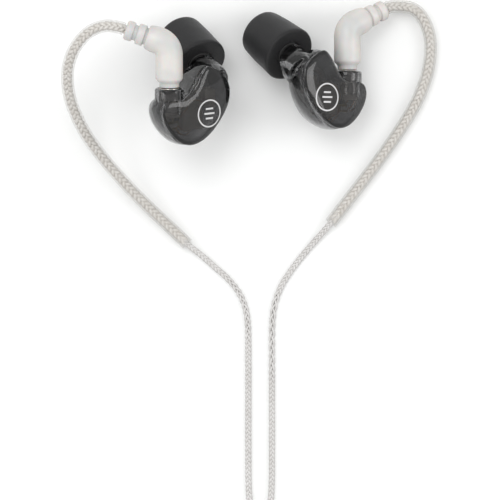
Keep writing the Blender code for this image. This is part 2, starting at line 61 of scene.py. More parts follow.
# Materials: each is a Principled shader with its own mottling, bump and wear; some also get painted rim shade.
def startMaterial(name, roughness, **sockets):
    material = bpy.data.materials.new(name)
    material.use_nodes = True
    shader = material.node_tree.nodes["Principled BSDF"]
    shader.inputs["Roughness"].default_value = roughness
    for socket, value in sockets.items():
        shader.inputs[socket.replace("_", " ")].default_value = value
    return material, shader


def addNode(material, kind, **values):
    node = material.node_tree.nodes.new(kind)
    for key, value in values.items():
        if key in node.bl_rna.properties:
            setattr(node, key, value)
        else:
            node.inputs[key].default_value = value
    return node


def link(material, start, end):
    material.node_tree.links.new(start, end)


def noise(material, scale, detail=4.0, stretch=(1, 1, 1)):
    place = addNode(material, "ShaderNodeTexCoord")
    mapping = addNode(material, "ShaderNodeMapping")
    mapping.inputs["Scale"].default_value = stretch
    texture = addNode(material, "ShaderNodeTexNoise", Scale=scale, Detail=detail, Roughness=0.6)
    link(material, place.outputs["Object"], mapping.inputs["Vector"])
    link(material, mapping.outputs["Vector"], texture.inputs["Vector"])
    return texture


def tint(material, shader, source, dark, pale, low=0.3, high=0.7):
    # A colour that wanders between dark and pale as source does.
    ramp = addNode(material, "ShaderNodeValToRGB")
    ramp.color_ramp.elements[0].position = low
    ramp.color_ramp.elements[1].position = high
    ramp.color_ramp.elements[0].color = (*dark, 1)
    ramp.color_ramp.elements[1].color = (*pale, 1)
    link(material, source, ramp.inputs["Fac"])
    link(material, ramp.outputs["Color"], shader.inputs["Base Color"])
    return ramp


def bump(material, shader, source, height, strength=0.5, under=None):
    node = addNode(material, "ShaderNodeBump", Strength=strength, Distance=height)
    link(material, source, node.inputs["Height"])
    if under:
        link(material, under.outputs["Normal"], node.inputs["Normal"])
    link(material, node.outputs["Normal"], shader.inputs["Normal"])
    return node


def wander(material, shader, source, low, high):
    # Roughness that wanders from low to high, as handled plastic has.
    spread = addNode(material, "ShaderNodeMapRange")
    spread.inputs["To Min"].default_value = low
    spread.inputs["To Max"].default_value = high
    link(material, source, spread.inputs["Value"])
    link(material, spread.outputs["Result"], shader.inputs["Roughness"])


def smokeMaterial():
    look = {"dark": (0.18, 0.18, 0.185), "pale": (0.25, 0.25, 0.255), "clear": 1.0, "bend": 1.4}
    material, shader = startMaterial("smokeAcrylic", 0.04, Transmission_Weight=look["clear"], IOR=look["bend"],
                                     Coat_Weight=0.3, Coat_Roughness=0.03)
    clouds = noise(material, 90.0, 2.0)
    tint(material, shader, clouds.outputs["Fac"], look["dark"], look["pale"])
    fine = noise(material, 2600.0, 3.0)
    wander(material, shader, fine.outputs["Fac"], 0.02, 0.09)
    bump(material, shader, clouds.outputs["Fac"], 0.00004, 0.25)
    return material


def paintedRimShade(material, shader, edge, start=0.35):
    # Painted rim shade: towards the rim of a round piece, as seen from the camera, the colour is multiplied by
    # edge, a darker tone that stands in for shade at its sides.
    ramp = shader.inputs["Base Color"].links[0].from_node
    facing = addNode(material, "ShaderNodeLayerWeight")
    facing.inputs["Blend"].default_value = start
    mix = addNode(material, "ShaderNodeMix")
    mix.data_type = "RGBA"
    mix.blend_type = "MULTIPLY"
    link(material, facing.outputs["Facing"], mix.inputs["Factor"])
    link(material, ramp.outputs["Color"], mix.inputs["A"])
    mix.inputs["B"].default_value = (*edge, 1)
    link(material, mix.outputs["Result"], shader.inputs["Base Color"])


def layered(name, roughness, tones, clouds, fine, spread, relief=None, edge=None, **sockets):
    # Mottled colour, painted rim shade where edge is given, then wandering roughness and a fine grain.
    material, shader = startMaterial(name, roughness, **sockets)
    mottle = noise(material, *clouds)
    tint(material, shader, mottle.outputs["Fac"], *tones)
    if edge:
        paintedRimShade(material, shader, *edge)
    grain = noise(material, *fine)
    wander(material, shader, grain.outputs["Fac"], *spread)
    if relief:
        bump(material, shader, grain.outputs["Fac"], *relief)
    return material, shader


def softMaterial(name, dark, pale, grain, roughness, height, **sockets):
    # Moulded plastic, rubber or metal.
    spread = (max(0.02, roughness - 0.07), roughness + 0.09)
    return layered(name, roughness, (dark, pale), (grain * 0.12, 3.0), (grain, 4.0), spread, (height, 0.4),
                   **sockets)[0]


def frostedMaterial():
    # edge is painted rim shade: the moulding's colour is darkened towards its outline.
    look = {"dark": (0.53, 0.545, 0.55), "pale": (0.68, 0.665, 0.64), "edge": (0.74, 0.71, 0.67)}
    return layered("frostedMoulding", 0.38, (look["dark"], look["pale"], 0.32, 0.62), (120.0, 2.0), (1500.0, 4.0),
                   (0.32, 0.46), (0.00002, 0.4), (look["edge"], 0.4), Subsurface_Weight=0.3,
                   Subsurface_Scale=0.002, Coat_Weight=0.12, Coat_Roughness=0.25)[0]


def sleeveMaterial():
    # Clear tubing: almost invisible face on and more opaque towards its edges, where painted rim shade also greys
    # its colour.
    look = {"dark": (0.66, 0.645, 0.62), "pale": (0.76, 0.75, 0.73), "edge": (0.72, 0.70, 0.67), "clear": 0.05,
            "thick": 0.62}
    material, shader = layered("clearSleeve", 0.12, (look["dark"], look["pale"]), (220.0, 3.0), (1200.0, 3.0),
                               (0.08, 0.2), None, (look["edge"],), Coat_Weight=0.4)
    facing = addNode(material, "ShaderNodeLayerWeight")
    facing.inputs["Blend"].default_value = 0.3
    spread = addNode(material, "ShaderNodeMapRange")
    spread.inputs["To Min"].default_value = look["clear"]
    spread.inputs["To Max"].default_value = look["thick"]
    link(material, facing.outputs["Facing"], spread.inputs["Value"])
    link(material, spread.outputs["Result"], shader.inputs["Alpha"])
    return material


def plaitMaterial(name, dark, pale, edge, roughness):
    # Enamelled strands under a clear skin: a fine lay along each one, and painted shade that darkens each strand
    # towards its outline, where the creases lie.
    spread = (roughness - 0.06, roughness + 0.1)
    return layered(name, roughness, (dark, pale), (480.0, 3.0), (3000.0, 2.0), spread, (0.00001, 0.3),
                   (edge, 0.5), Coat_Weight=0.12, Coat_Roughness=0.2)[0]


def foamMaterial():
    look = {"cells": 5200.0, "pores": 0.00009, "skin": 0.00014}
    material, shader = startMaterial("memoryFoam", 0.5, Sheen_Weight=0.12, Sheen_Roughness=0.35,
                                     Specular_IOR_Level=0.3)
    shader.inputs["Sheen Tint"].default_value = (0.8, 0.8, 0.82, 1)
    place = addNode(material, "ShaderNodeTexCoord")
    cells = addNode(material, "ShaderNodeTexVoronoi", Scale=look["cells"])
    link(material, place.outputs["Object"], cells.inputs["Vector"])
    tint(material, shader, cells.outputs["Distance"], (0.006, 0.006, 0.0065), (0.017, 0.017, 0.018), 0.1, 0.6)
    waves = noise(material, 420.0, 3.0)
    skin = bump(material, shader, waves.outputs["Fac"], look["skin"], 0.25)
    bump(material, shader, cells.outputs["Distance"], look["pores"], 0.5, skin)
    return material


def strapMaterial():
    material, shader = startMaterial("hookAndLoop", 0.92, Sheen_Weight=0.4)
    loops = noise(material, 5200.0, 2.0)
    tint(material, shader, loops.outputs["Fac"], (0.012, 0.012, 0.013), (0.05, 0.05, 0.052))
    bump(material, shader, loops.outputs["Fac"], 0.00018, 0.9)
    return material


def meshMaterial():
    # Fine woven wire over the sound hole.
    material, shader = startMaterial("wireMesh", 0.3, Metallic=1.0)
    place = addNode(material, "ShaderNodeTexCoord")
    weave = addNode(material, "ShaderNodeTexChecker", Scale=9000.0)
    link(material, place.outputs["Object"], weave.inputs["Vector"])
    tint(material, shader, weave.outputs["Fac"], (0.25, 0.25, 0.26), (0.66, 0.66, 0.67))
    bump(material, shader, weave.outputs["Fac"], 0.00005, 0.8)
    return material


# Name, dark and pale tones, grain, roughness, height of the grain, and other sockets.
softLooks = {
    "blackPlastic": ("blackPlastic", (0.014, 0.014, 0.014), (0.028, 0.028, 0.029), 1500.0, 0.34, 0.00002, {}),
    "print": ("palePrint", (0.56, 0.56, 0.56), (0.66, 0.66, 0.66), 1500.0, 0.38, 0.00001, {}),
    "nickel": ("nickelPlate", (0.66, 0.63, 0.58), (0.80, 0.77, 0.72), 1200.0, 0.2, 0.00001, {"Metallic": 1.0}),
    "gold": ("goldPlate", (0.80, 0.58, 0.26), (0.90, 0.70, 0.36), 1200.0, 0.2, 0.00001, {"Metallic": 1.0}),
    "driver": ("driverCase", (0.62, 0.56, 0.48), (0.88, 0.82, 0.73), 1300.0, 0.38, 0.00002, {"Metallic": 0.35}),
    "board": ("circuitBoard", (0.34, 0.25, 0.12), (0.52, 0.40, 0.22), 1300.0, 0.42, 0.00002, {}),
    "copper": ("windingWire", (0.52, 0.30, 0.16), (0.72, 0.45, 0.26), 2500.0, 0.3, 0.00001, {"Metallic": 0.8}),
    "soundTube": ("soundTube", (0.62, 0.60, 0.55), (0.74, 0.72, 0.68), 900.0, 0.2, 0.00002, {"Alpha": 0.6}),
    "insulator": ("paleInsulator", (0.70, 0.68, 0.62), (0.80, 0.78, 0.72), 1200.0, 0.4, 0.00002, {}),
    "rubber": ("coreRubber", (0.03, 0.03, 0.03), (0.06, 0.06, 0.06), 1200.0, 0.5, 0.00003, {}),
}
looks = {
    "smoke": smokeMaterial(),
    "foam": foamMaterial(),
    "strap": strapMaterial(),
    "mesh": meshMaterial(),
    "frosted": frostedMaterial(),
    "sleeve": sleeveMaterial(),
    # The third tone of each plait is painted rim shade, darker at each strand's outline.
    "creamPlait": plaitMaterial("creamPlait", (0.68, 0.65, 0.61), (0.78, 0.76, 0.73), (0.52, 0.49, 0.45), 0.42),
    "silverPlait": plaitMaterial("silverPlait", (0.62, 0.605, 0.59), (0.72, 0.71, 0.70), (0.55, 0.53, 0.51), 0.4),
}
looks.update({key: softMaterial(*values, **sockets) for key, (*values, sockets) in softLooks.items()})
print("materials made:", len(looks))


# Mesh helpers. Every piece is made straight in the table's frame, in metres.
def addPiece(name, verts, faces, look, body, replaced=(), slot=None, angle=35):
    mesh = bpy.data.meshes.new(name)
    mesh.from_pydata([tuple(v) for v in verts], [], [tuple(f) for f in faces])
    shape = bmesh.new()
    shape.from_mesh(mesh)
    bmesh.ops.recalc_face_normals(shape, faces=shape.faces)
    shape.to_mesh(mesh)
    shape.free()
    mesh.shade_smooth()
    mesh.set_sharp_from_angle(angle=math.radians(angle))
    mesh.materials.append(looks[look])
    piece = bpy.data.objects.new(name, mesh)
    bpy.context.scene.collection.objects.link(piece)
    if body:
        settle(piece, body, replaced)
    return piece


def settle(piece, body, replaced=()):
    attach(piece, body)
    if replaced:
        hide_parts(*replaced)


def bevelled(piece, width, segments=2, angle=40):
    rounding = piece.modifiers.new("roundedEdges", "BEVEL")
    rounding.width = width * mm
    rounding.segments = segments
    rounding.limit_method = "ANGLE"
    rounding.angle_limit = math.radians(angle)
    return piece


def turnedMesh(profile, place, steps=64):
    # A closed profile of (radius, height) in millimetres, turned about the place's own Z axis.
    verts, faces, rows = [], [], []
    circle = [2 * math.pi * i / steps for i in range(steps)]
    for radius, height in profile:
        if radius < 1e-6:
            rows.append([len(verts)])
            verts.append(place @ Vector((0, 0, height * mm)))
            continue
        rows.append(list(range(len(verts), len(verts) + steps)))
        wide, high = radius * mm, height * mm
        verts += [place @ Vector((wide * math.cos(turn), wide * math.sin(turn), high)) for turn in circle]
    pairs = list(zip(rows, rows[1:]))
    if len(rows[0]) > 1:
        pairs.append((rows[-1], rows[0]))
    for upper, lower in pairs:
        for i in range(steps):
            j = (i + 1) % steps
            if len(upper) == 1 and len(lower) == 1:
                break
            if len(upper) == 1:
                faces.append((upper[0], lower[j], lower[i]))
            elif len(lower) == 1:
                faces.append((upper[i], upper[j], lower[0]))
            else:
                faces.append((upper[i], upper[j], lower[j], lower[i]))
    return verts, faces


def turned(name, profile, place, look, body, replaced=(), slot=None, steps=64, bevel=0.06):
    piece = addPiece(name, *turnedMesh(profile, place, steps), look, body, replaced, slot)
    return bevelled(piece, bevel) if bevel else piece


def along(direction, place):
    turn = Vector((0, 0, 1)).rotation_difference(Vector(direction)).to_matrix().to_4x4()
    return Matrix.Translation(Vector(place)) @ turn


def catmull(a, b, c, d, t):
    return 0.5 * (2 * b + (c - a) * t + (2 * a - 5 * b + 4 * c - d) * t ** 2 + (3 * b - a - 3 * c + d) * t ** 3)


def smoothLine(route, fine=16):
    # A dense smooth curve through the route's points.
    route = [np.array(p, float) for p in route]
    ends = [2 * route[0] - route[1], *route, 2 * route[-1] - route[-2]]
    line = []
    for i in range(len(route) - 1):
        line += [catmull(*ends[i:i + 4], step / fine) for step in range(fine)]
    return np.array(line + [route[-1]])


def distances(line):
    # How far along the line each of its points lies.
    return np.concatenate([[0], np.cumsum(np.linalg.norm(np.diff(line, axis=0), axis=1))])


def respaced(line, spacing):
    lengths = distances(line)
    wanted = np.linspace(0, lengths[-1], max(3, round(lengths[-1] / spacing) + 1))
    return np.stack([np.interp(wanted, lengths, line[:, k]) for k in range(3)], axis=1)


def lineLength(line):
    return float(np.linalg.norm(np.diff(line, axis=0), axis=1).sum())


def sideways(line):
    # Directions along the line, level sideways and upwards at every point.
    ahead = np.gradient(line, axis=0)
    ahead /= np.linalg.norm(ahead, axis=1)[:, None]
    side = np.cross(ahead, (0, 0, 1.0))
    side /= np.linalg.norm(side, axis=1)[:, None]
    return ahead, side, np.cross(side, ahead)


def ringFaces(rings, sides, closed=True):
    # Quads that join each ring of points to the next, and a flat face at either end.
    faces = []
    for first in range(0, (rings - 1) * sides, sides):
        for i in range(first, first + sides):
            j = first + (i + 1 - first) % sides
            faces.append((i, j, j + sides, i + sides))
    if closed:
        faces += [tuple(range(sides)), tuple(range((rings - 1) * sides, rings * sides))]
    return faces


def sweep(line, radii, sides):
    # A round skin along the line, closed by flat ends.
    _, side, up = sideways(line)
    turns = np.linspace(0, 2 * np.pi, sides, endpoint=False)
    rings = (line[:, None, :] + np.cos(turns)[None, :, None] * side[:, None, :] * radii[:, None, None]
             + np.sin(turns)[None, :, None] * up[:, None, :] * radii[:, None, None])
    return rings.reshape(-1, 3), ringFaces(len(line), sides)


def strands(line, lay, plan):
    # Plaited or twisted strands along a line. plan: how many, reach sideways and up, thickness, pitch, all
    # in millimetres; pitch, reach and thickness may be lists, one value for each point of the line.
    ahead, side, up = sideways(line)
    steps = np.concatenate([[0], np.linalg.norm(np.diff(line, axis=0), axis=1)])
    pitch = np.broadcast_to(np.asarray(plan["pitch"], float) * mm, len(line))
    turn = np.cumsum(steps / pitch) * 2 * np.pi
    across = np.broadcast_to(np.asarray(plan["across"], float) * mm, len(line))
    high = np.broadcast_to(np.asarray(plan["high"], float) * mm, len(line))
    thick = np.broadcast_to(np.asarray(plan["thick"], float) * mm, len(line))
    allVerts, allFaces = [], []
    for strand in range(plan["count"]):
        phase = turn + 2 * np.pi * strand / plan["count"]
        rise = np.sin(2 * phase) if lay == "plait" else np.cos(phase)
        centre = line + side * (across * np.sin(phase))[:, None] + up * (high * rise)[:, None]
        verts, faces = sweep(centre, thick, plan["sides"])
        start = sum(len(v) for v in allVerts)
        allVerts.append(verts)
        allFaces += [tuple(v + start for v in face) for face in faces]
    return np.concatenate(allVerts), allFaces


# Where each earpiece lies, as in the CAD: the mouth of its socket, and its turns about X and Y.
earpieces = {
    "right": {"side": 1, "faceTurn": 38, "plugTilt": 0, "legDrop": 25, "bend": 66},
    "left": {"side": -1, "faceTurn": 35, "plugTilt": 11, "legDrop": 4, "bend": 72},
}
for prefix, piece in earpieces.items():
    piece["mouth"] = Vector(jointOf[prefix + "_swivel"]["pos_m"])
    tilt = Matrix.Rotation(math.radians(piece["plugTilt"]), 4, "X")
    piece["plug"] = Matrix.Translation(piece["mouth"]) @ tilt
    piece["frame"] = piece["plug"] @ Matrix.Rotation(math.radians(piece["faceTurn"]), 4, "Y")
    bend, drop = math.radians(piece["bend"]), math.radians(piece["legDrop"])
    level = math.sin(bend)
    leg = Vector((piece["side"] * level * math.cos(drop), math.cos(bend), -level * math.sin(drop)))
    piece["leg"] = tilt.to_3x3() @ leg
    piece["rise"] = tilt.to_3x3() @ Vector((0, 1, 0))

elbow = {"rise": 10.8, "bendRadius": 3.6, "radius": 3.2, "leg": 5.5, "relief": 4.9, "lead": 1.4}
hookRoute = {
    "right": [(37.0, 28.15, 3.0), (39.4, 27.5, 2.7), (41.2, 25.7, 2.25), (42.7, 22.6, 1.9), (43.3, 19.0, 1.7),
              (43.0, 14.6, 1.55), (41.8, 9.9, 1.55), (39.4, 4.4, 1.55), (35.9, -1.4, 1.55), (31.8, -7.3, 1.55),
              (27.4, -13.2, 1.55), (23.0, -18.9, 1.55), (19.3, -23.7, 1.55)],
    "left": [(-34.2, 22.6, 24.4), (-37.4, 21.5, 23.4), (-39.9, 19.4, 22.0), (-41.8, 16.6, 20.3),
             (-42.9, 13.5, 18.4), (-43.2, 10.0, 16.4), (-42.7, 5.9, 14.0), (-41.1, 1.4, 11.3),
             (-38.5, -3.5, 8.6), (-34.4, -9.0, 5.9), (-29.2, -14.9, 3.7), (-23.5, -20.6, 2.3),
             (-18.3, -25.5, 1.65), (-15.0, -28.7, 1.55)],
}
# The strands lie a little lower than in the CAD, because a plait is flatter than a round tube.
strandRoute = {
    "right": [(15.9, -27.6, 0.85), (12.5, -31.6, 0.58), (9.6, -35.4, 0.58), (7.3, -39.2, 0.58),
              (5.9, -43.2, 0.58), (5.3, -48.0, 0.58)],
    "left": [(-11.6, -31.4, 0.85), (-8.3, -34.3, 0.58), (-5.2, -37.1, 0.58), (-2.7, -40.3, 0.58),
             (-1.1, -44.0, 0.58), (-0.5, -48.6, 0.58)],
}
# From there on both run side by side: x of the right one, x of the left one, y, z.
sideBySide = [
    (5.25, -0.4, -56.0, 0.58), (5.25, -0.4, -66.0, 0.58), (5.25, -0.4, -76.0, 0.58), (5.2, -0.35, -86.0, 0.58),
    (4.7, 0.15, -92.5, 0.7), (3.7, 1.1, -97.5, 1.1), (3.45, 1.35, -101.0, 1.3), (3.45, 1.35, -108.0, 1.3),
    (3.45, 1.35, -115.0, 1.3), (3.45, 1.35, -120.5, 1.35), (3.4, 1.3, -123.6, 2.2),
]
for rightX, leftX, y, z in sideBySide:
    strandRoute["right"].append((rightX, y, z))
    strandRoute["left"].append((leftX, y, z))


def hookSpine(prefix):
    # The ear hook's middle line starts at the strain relief and runs along the leg's direction.
    piece = earpieces[prefix]
    corner = piece["mouth"] + piece["rise"] * elbow["rise"] * mm
    start = corner + piece["leg"] * (elbow["leg"] + 0.3 + elbow["relief"] + 0.5) * mm
    route = [start, start + piece["leg"] * elbow["lead"] * mm] + [Vector(p) * mm for p in hookRoute[prefix]]
    return smoothLine(route)


def windings(middle, stops, perTurn=56):
    # A coil seen from above, wound clockwise. Each stop is (turns since the right side, radius, height).
    turns = np.arange(stops[0][0], stops[-1][0], 1 / perTurn)
    turns = np.append(turns, stops[-1][0])
    at = [s[0] for s in stops]
    part = np.clip(np.searchsorted(at, turns, side="right") - 1, 0, len(at) - 2)
    low, high = np.array(at)[part], np.array(at)[part + 1]
    share = (turns - low) / (high - low)
    ease = share * share * (3 - 2 * share)
    radius = np.array([s[1] for s in stops])
    height = np.array([s[2] for s in stops])
    radius = radius[part] + (radius[part + 1] - radius[part]) * ease
    height = height[part] + (height[part + 1] - height[part]) * ease
    angle = -2 * np.pi * turns
    radius = radius + 0.07 * np.sin(9.0 * angle + 2.1 * turns)
    return np.stack([middle[0] + radius * np.cos(angle), middle[1] + radius * np.sin(angle), height], axis=1) * mm


strandCoil = {"middle": (-6.6, -132.8)}
strandStops = {
    "right": [(-0.088, 11.35, 3.7), (0.03, 9.0, 4.0), (0.80, 9.0, 4.0), (0.89, 7.4, 2.45), (1.72, 7.4, 2.4),
              (1.80, 9.0, 2.4), (2.72, 9.0, 2.4), (2.80, 10.6, 2.4), (3.25, 10.6, 2.6)],
    "left": [(-0.105, 9.8, 3.8), (0.03, 7.4, 4.0), (0.78, 7.4, 4.0), (0.87, 7.4, 0.8), (1.72, 7.4, 0.8),
             (1.80, 9.0, 0.8), (2.72, 9.0, 0.8), (2.80, 10.6, 0.8), (3.25, 10.6, 1.1)],
}
splitter = {"start": (-14.8, -143.4, 2.05), "length": 10.0}


def strandLine(prefix, spine):
    ahead = spine[-1] - spine[-2]
    ahead /= np.linalg.norm(ahead)
    inside = spine[-1] - ahead * 3.0 * mm
    coil = windings(strandCoil["middle"], strandStops[prefix])
    height = {"right": 2.75, "left": 1.35}[prefix]
    last = [(-10.5, -143.4, height), (-13.0, -143.4, height), (-16.0, -143.4, height)]
    route = [inside, spine[-1]] + [np.array(p) * mm for p in strandRoute[prefix]]
    laid = smoothLine(route + list(coil[:8:4]))
    tail = smoothLine([coil[-4], coil[-1]] + [np.array(p) * mm for p in last])
    cut = len(laid) - 16
    return np.concatenate([laid[:cut], coil, tail[17:]])


def blendAlong(line, table):
    # Values that change along the line: table holds (distance in millimetres, value).
    return np.interp(distances(line) / mm, [row[0] for row in table], [row[1] for row in table])


# How the plait changes below each hook: tight, then open, then tight again. Distance, pitch, reach, thickness.
strandLay = {
    "right": {"pitch": [(0, 3.2), (23, 3.2), (26, 6.4), (41, 6.4), (46, 3.2), (400, 3.2)],
              "across": [(0, 0.42), (23, 0.42), (26, 0.50), (40, 0.48), (46, 0.42), (400, 0.42)],
              "thick": [(0, 0.33), (23, 0.33), (26, 0.25), (40, 0.27), (46, 0.33), (400, 0.33)]},
    "left": {"pitch": [(0, 3.2), (14, 3.2), (17, 4.6), (30, 4.6), (34, 3.2), (400, 3.2)],
             "across": [(0, 0.42), (14, 0.42), (17, 0.45), (30, 0.45), (34, 0.42), (400, 0.42)],
             "thick": [(0, 0.33), (14, 0.33), (17, 0.29), (30, 0.29), (34, 0.33), (400, 0.33)]},
}
spines = {prefix: hookSpine(prefix) for prefix in earpieces}
for prefix in earpieces:
    line = respaced(strandLine(prefix, spines[prefix]), 0.26 * mm)
    lay = strandLay[prefix]
    plan = {"count": 3, "sides": 8, "high": 0.2}
    plan.update({key: blendAlong(line, lay[key]) for key in ("pitch", "across", "thick")})
    verts, faces = strands(line, "plait", plan)
    replaced = [prefix + "_cable"] + (["strand_coil"] if prefix == "right" else [])
    addPiece(prefix + "StrandPlait", verts, faces, "silverPlait", "harness", replaced,
                                    "plaited_cable", angle=60)
    earpieces[prefix]["strandLine"] = line
    print(prefix, "strand", round(lineLength(line), 4), "m")

mainCoil = {"middle": (-40.6, -128.8), "radius": 13.0, "pitch": 2.45, "floor": 1.25, "from": 0.25}
mainSlots = [(2, 0), (1, 0), (0, 0), (0, 1), (1, 1), (2, 1), (3, 1), (3, 2), (2, 2), (1, 2), (0, 2), (0, 3),
             (1, 3)]
tailRoute = [(-44.4, -148.4, 1.4), (-47.9, -148.9, 1.25), (-50.8, -151.1, 1.4), (-51.4, -154.7, 1.9),
             (-49.2, -157.8, 2.7), (-45.0, -158.9, 3.3), (-40.2, -159.0, 3.4)]
jackStart = (-39.8, -159.0, 3.4)


def mainLine():
    coil = mainCoil

    def slotPlace(column, row):
        return coil["radius"] + (column - 1.5) * coil["pitch"], coil["floor"] + row * coil["pitch"]

    begin = coil["from"]
    stops = [(begin - 0.06, *slotPlace(2, 0))]
    for turn, slot in enumerate(mainSlots):
        stops.append((begin + turn + (0.0 if turn == 0 else -0.05), *slotPlace(*slot)))
        stops.append((begin + turn + 0.80, *slotPlace(*slot)))
    last = len(mainSlots)
    stops += [(begin + last - 0.05, *slotPlace(2, 3)), (begin + last + 0.52, *slotPlace(2, 3)),
              (begin + last + 0.68, *slotPlace(3, 3)), (begin + last + 1.0, 19.7, 2.2),
              (begin + last + 1.03, 19.9, 1.5)]
    around = windings(coil["middle"], stops, 60)
    start = np.array(splitter["start"]) + (-splitter["length"] + 1.5, 0, 0)
    lead = [start * mm, (start + (-3.0, 0, 0)) * mm, np.array((-29.5, -143.3, 1.55)) * mm]
    entry = smoothLine(lead + [around[0], around[5]])
    tail = smoothLine([around[-5], around[-1]] + [np.array(p) * mm for p in tailRoute[1:]]
                      + [np.array(jackStart) * mm + np.array((2.0, 0, 0)) * mm])
    return np.concatenate([entry[:-16], around, tail[17:]])


mainLay = {"count": 4, "sides": 7, "pitch": 8.5, "across": 0.70, "high": 0.70, "thick": 0.50}
line = respaced(mainLine(), 0.7 * mm)
verts, faces = strands(line, "twist", mainLay)
mainCable = addPiece("mainCableTwist", verts, faces, "silverPlait", "harness",
                     ["main_lead", "main_coil", "main_tail"], "plaited_cable", angle=60)


# Jack, splitter, chin slider and tie: what is on the cords.
lying = along((1, 0, 0), np.array(jackStart) * mm)
jackStages = [
    ("Relief", "frosted", "frosted_elbow", 0.12,
     [(0, 7.1), (2.45, 7.1), (2.35, 6.0), (1.95, 5.8), (2.2, 5.5), (2.15, 4.6), (1.8, 4.4), (2.0, 4.1),
      (1.95, 3.2), (1.6, 3.0), (1.8, 2.7), (1.7, 1.6), (1.4, 1.4), (1.55, 1.1), (1.45, 0), (0, 0)]),
    ("Housing", "frosted", "frosted_elbow", 0.12,
     [(0, 21.0), (2.85, 21.0), (3.15, 20.7), (3.3, 19.6), (3.35, 18.2), (3.2, 17.9), (3.2, 17.5),
      (3.35, 17.2), (3.35, 9.0), (3.2, 8.0), (2.7, 7.3), (0, 7.3)]),
    ("Sleeve", "gold", "gold", 0.08,
     [(0, 27.6), (1.75, 27.6), (1.75, 22.2), (2.45, 22.0), (2.5, 21.3), (0, 21.3)]),
    ("InsulatorRear", "blackPlastic", "nozzle_plastic", 0,
     [(0, 28.15), (1.72, 28.15), (1.72, 27.65), (0, 27.65)]),
    ("Ring", "gold", "gold", 0.08, [(0, 30.4), (1.75, 30.4), (1.75, 28.2), (0, 28.2)]),
    ("InsulatorFront", "blackPlastic", "nozzle_plastic", 0,
     [(0, 30.95), (1.72, 30.95), (1.72, 30.45), (0, 30.45)]),
    ("Tip", "gold", "gold", 0.08,
     [(0, 35.2), (0.35, 35.18), (0.7, 34.95), (1.55, 33.6), (1.68, 33.2), (1.6, 32.9), (1.27, 32.5),
      (1.25, 32.1), (1.6, 31.6), (1.72, 31.4), (1.72, 31.0), (0, 31.0)]),
]
jackNodes = ["jack_relief", "jack_housing", "jack_sleeve", "jack_insulator_rear", "jack_ring",
             "jack_insulator_front", "jack_tip"]
jackPieces = [turned("jack" + name, profile, lying, look, "harness", [node], slot, 72, bevel)
              for (name, look, slot, bevel, profile), node in zip(jackStages, jackNodes)]
splitterProfile = [
    (0, 0.2), (1.75, 0.2), (2.0, -0.15), (2.05, -0.9), (1.95, -2.0), (1.95, -5.4), (1.75, -5.7), (1.9, -6.0),
    (1.8, -6.9), (1.6, -7.1), (1.75, -7.4), (1.65, -8.3), (1.45, -8.5), (1.6, -8.8), (1.5, -9.8),
    (1.35, -10.0), (0, -10.0),
]
splitterPiece = turned("ySplitter", splitterProfile, along((1, 0, 0), np.array(splitter["start"]) * mm),
                       "frosted", "harness", ["y_splitter"], "frosted_elbow", 56, 0.1)


def roundedBlock(name, size, place, look, body, replaced=(), slot=None, rounding=0.5):
    half = Vector(size) / 2
    corners = []
    for x in (-1, 1):
        for y in (-1, 1):
            for z in (-1, 1):
                corners.append(place @ Vector((x * half.x * mm, y * half.y * mm, z * half.z * mm)))
    faces = [(0, 1, 3, 2), (4, 6, 7, 5), (0, 4, 5, 1), (2, 3, 7, 6), (0, 2, 6, 4), (1, 5, 7, 3)]
    piece = addPiece(name, corners, faces, look, body, replaced, slot)
    return bevelled(piece, rounding, 4)


def carve(target, tool):
    # Applies the cut at once, so no tool is left in the scene.
    boolean = target.modifiers.new("carve", "BOOLEAN")
    boolean.object = tool
    boolean.operation = "DIFFERENCE"
    boolean.solver = "EXACT"
    applyModifiers(target)
    bpy.data.objects.remove(tool)


def cutTurned(target, name, profile, place, steps=48, look="smoke"):
    carve(target, addPiece(name, *turnedMesh(profile, place, steps), look, None))


def applyModifiers(piece):
    seen = piece.evaluated_get(bpy.context.evaluated_depsgraph_get())
    mesh = bpy.data.meshes.new_from_object(seen)
    piece.modifiers.clear()
    old = piece.data
    piece.data = mesh
    bpy.data.meshes.remove(old)


chin = {"place": Vector((2.4, -117.0, 1.3)), "size": (6.3, 6.9, 2.5), "rounding": 0.7, "hole": 0.9, "apart": 1.05}
slider = roundedBlock("chinSlider", chin["size"], Matrix.Translation(chin["place"] * mm), "frosted",
                      "chin_bead", ["chin_slider"], "frosted_elbow", chin["rounding"])
applyModifiers(slider)
for offset in (-chin["apart"], chin["apart"]):
    place = along((0, 1, 0), (chin["place"] + Vector((offset, -6, 0))) * mm)
    cutTurned(slider, "cordHole", [(0, 12), (chin["hole"], 12), (chin["hole"], 0), (0, 0)], place,
              look="blackPlastic")
slider.data.set_sharp_from_angle(angle=math.radians(35))

strap = {"angle": 100, "wide": 5.45, "high": 5.35, "thick": 0.5, "width": 3.6, "round": 1.6, "middleHeight": 5.35,
         "tab": (-2.6, 2.9)}


def strapLoop(grow, steps=10):
    # A rounded rectangle round the coil's band, as (out from the coil's middle, up) in millimetres.
    points = []
    wide, high, bend = strap["wide"] + grow, strap["high"] + grow, strap["round"] + grow
    for x, y, first in ((1, 1, 0), (-1, 1, 90), (-1, -1, 180), (1, -1, 270)):
        for step in range(steps + 1):
            turn = math.radians(first + 90 * step / steps)
            points.append((x * (wide - bend) + bend * math.cos(turn), y * (high - bend) + bend * math.sin(turn)))
    return points


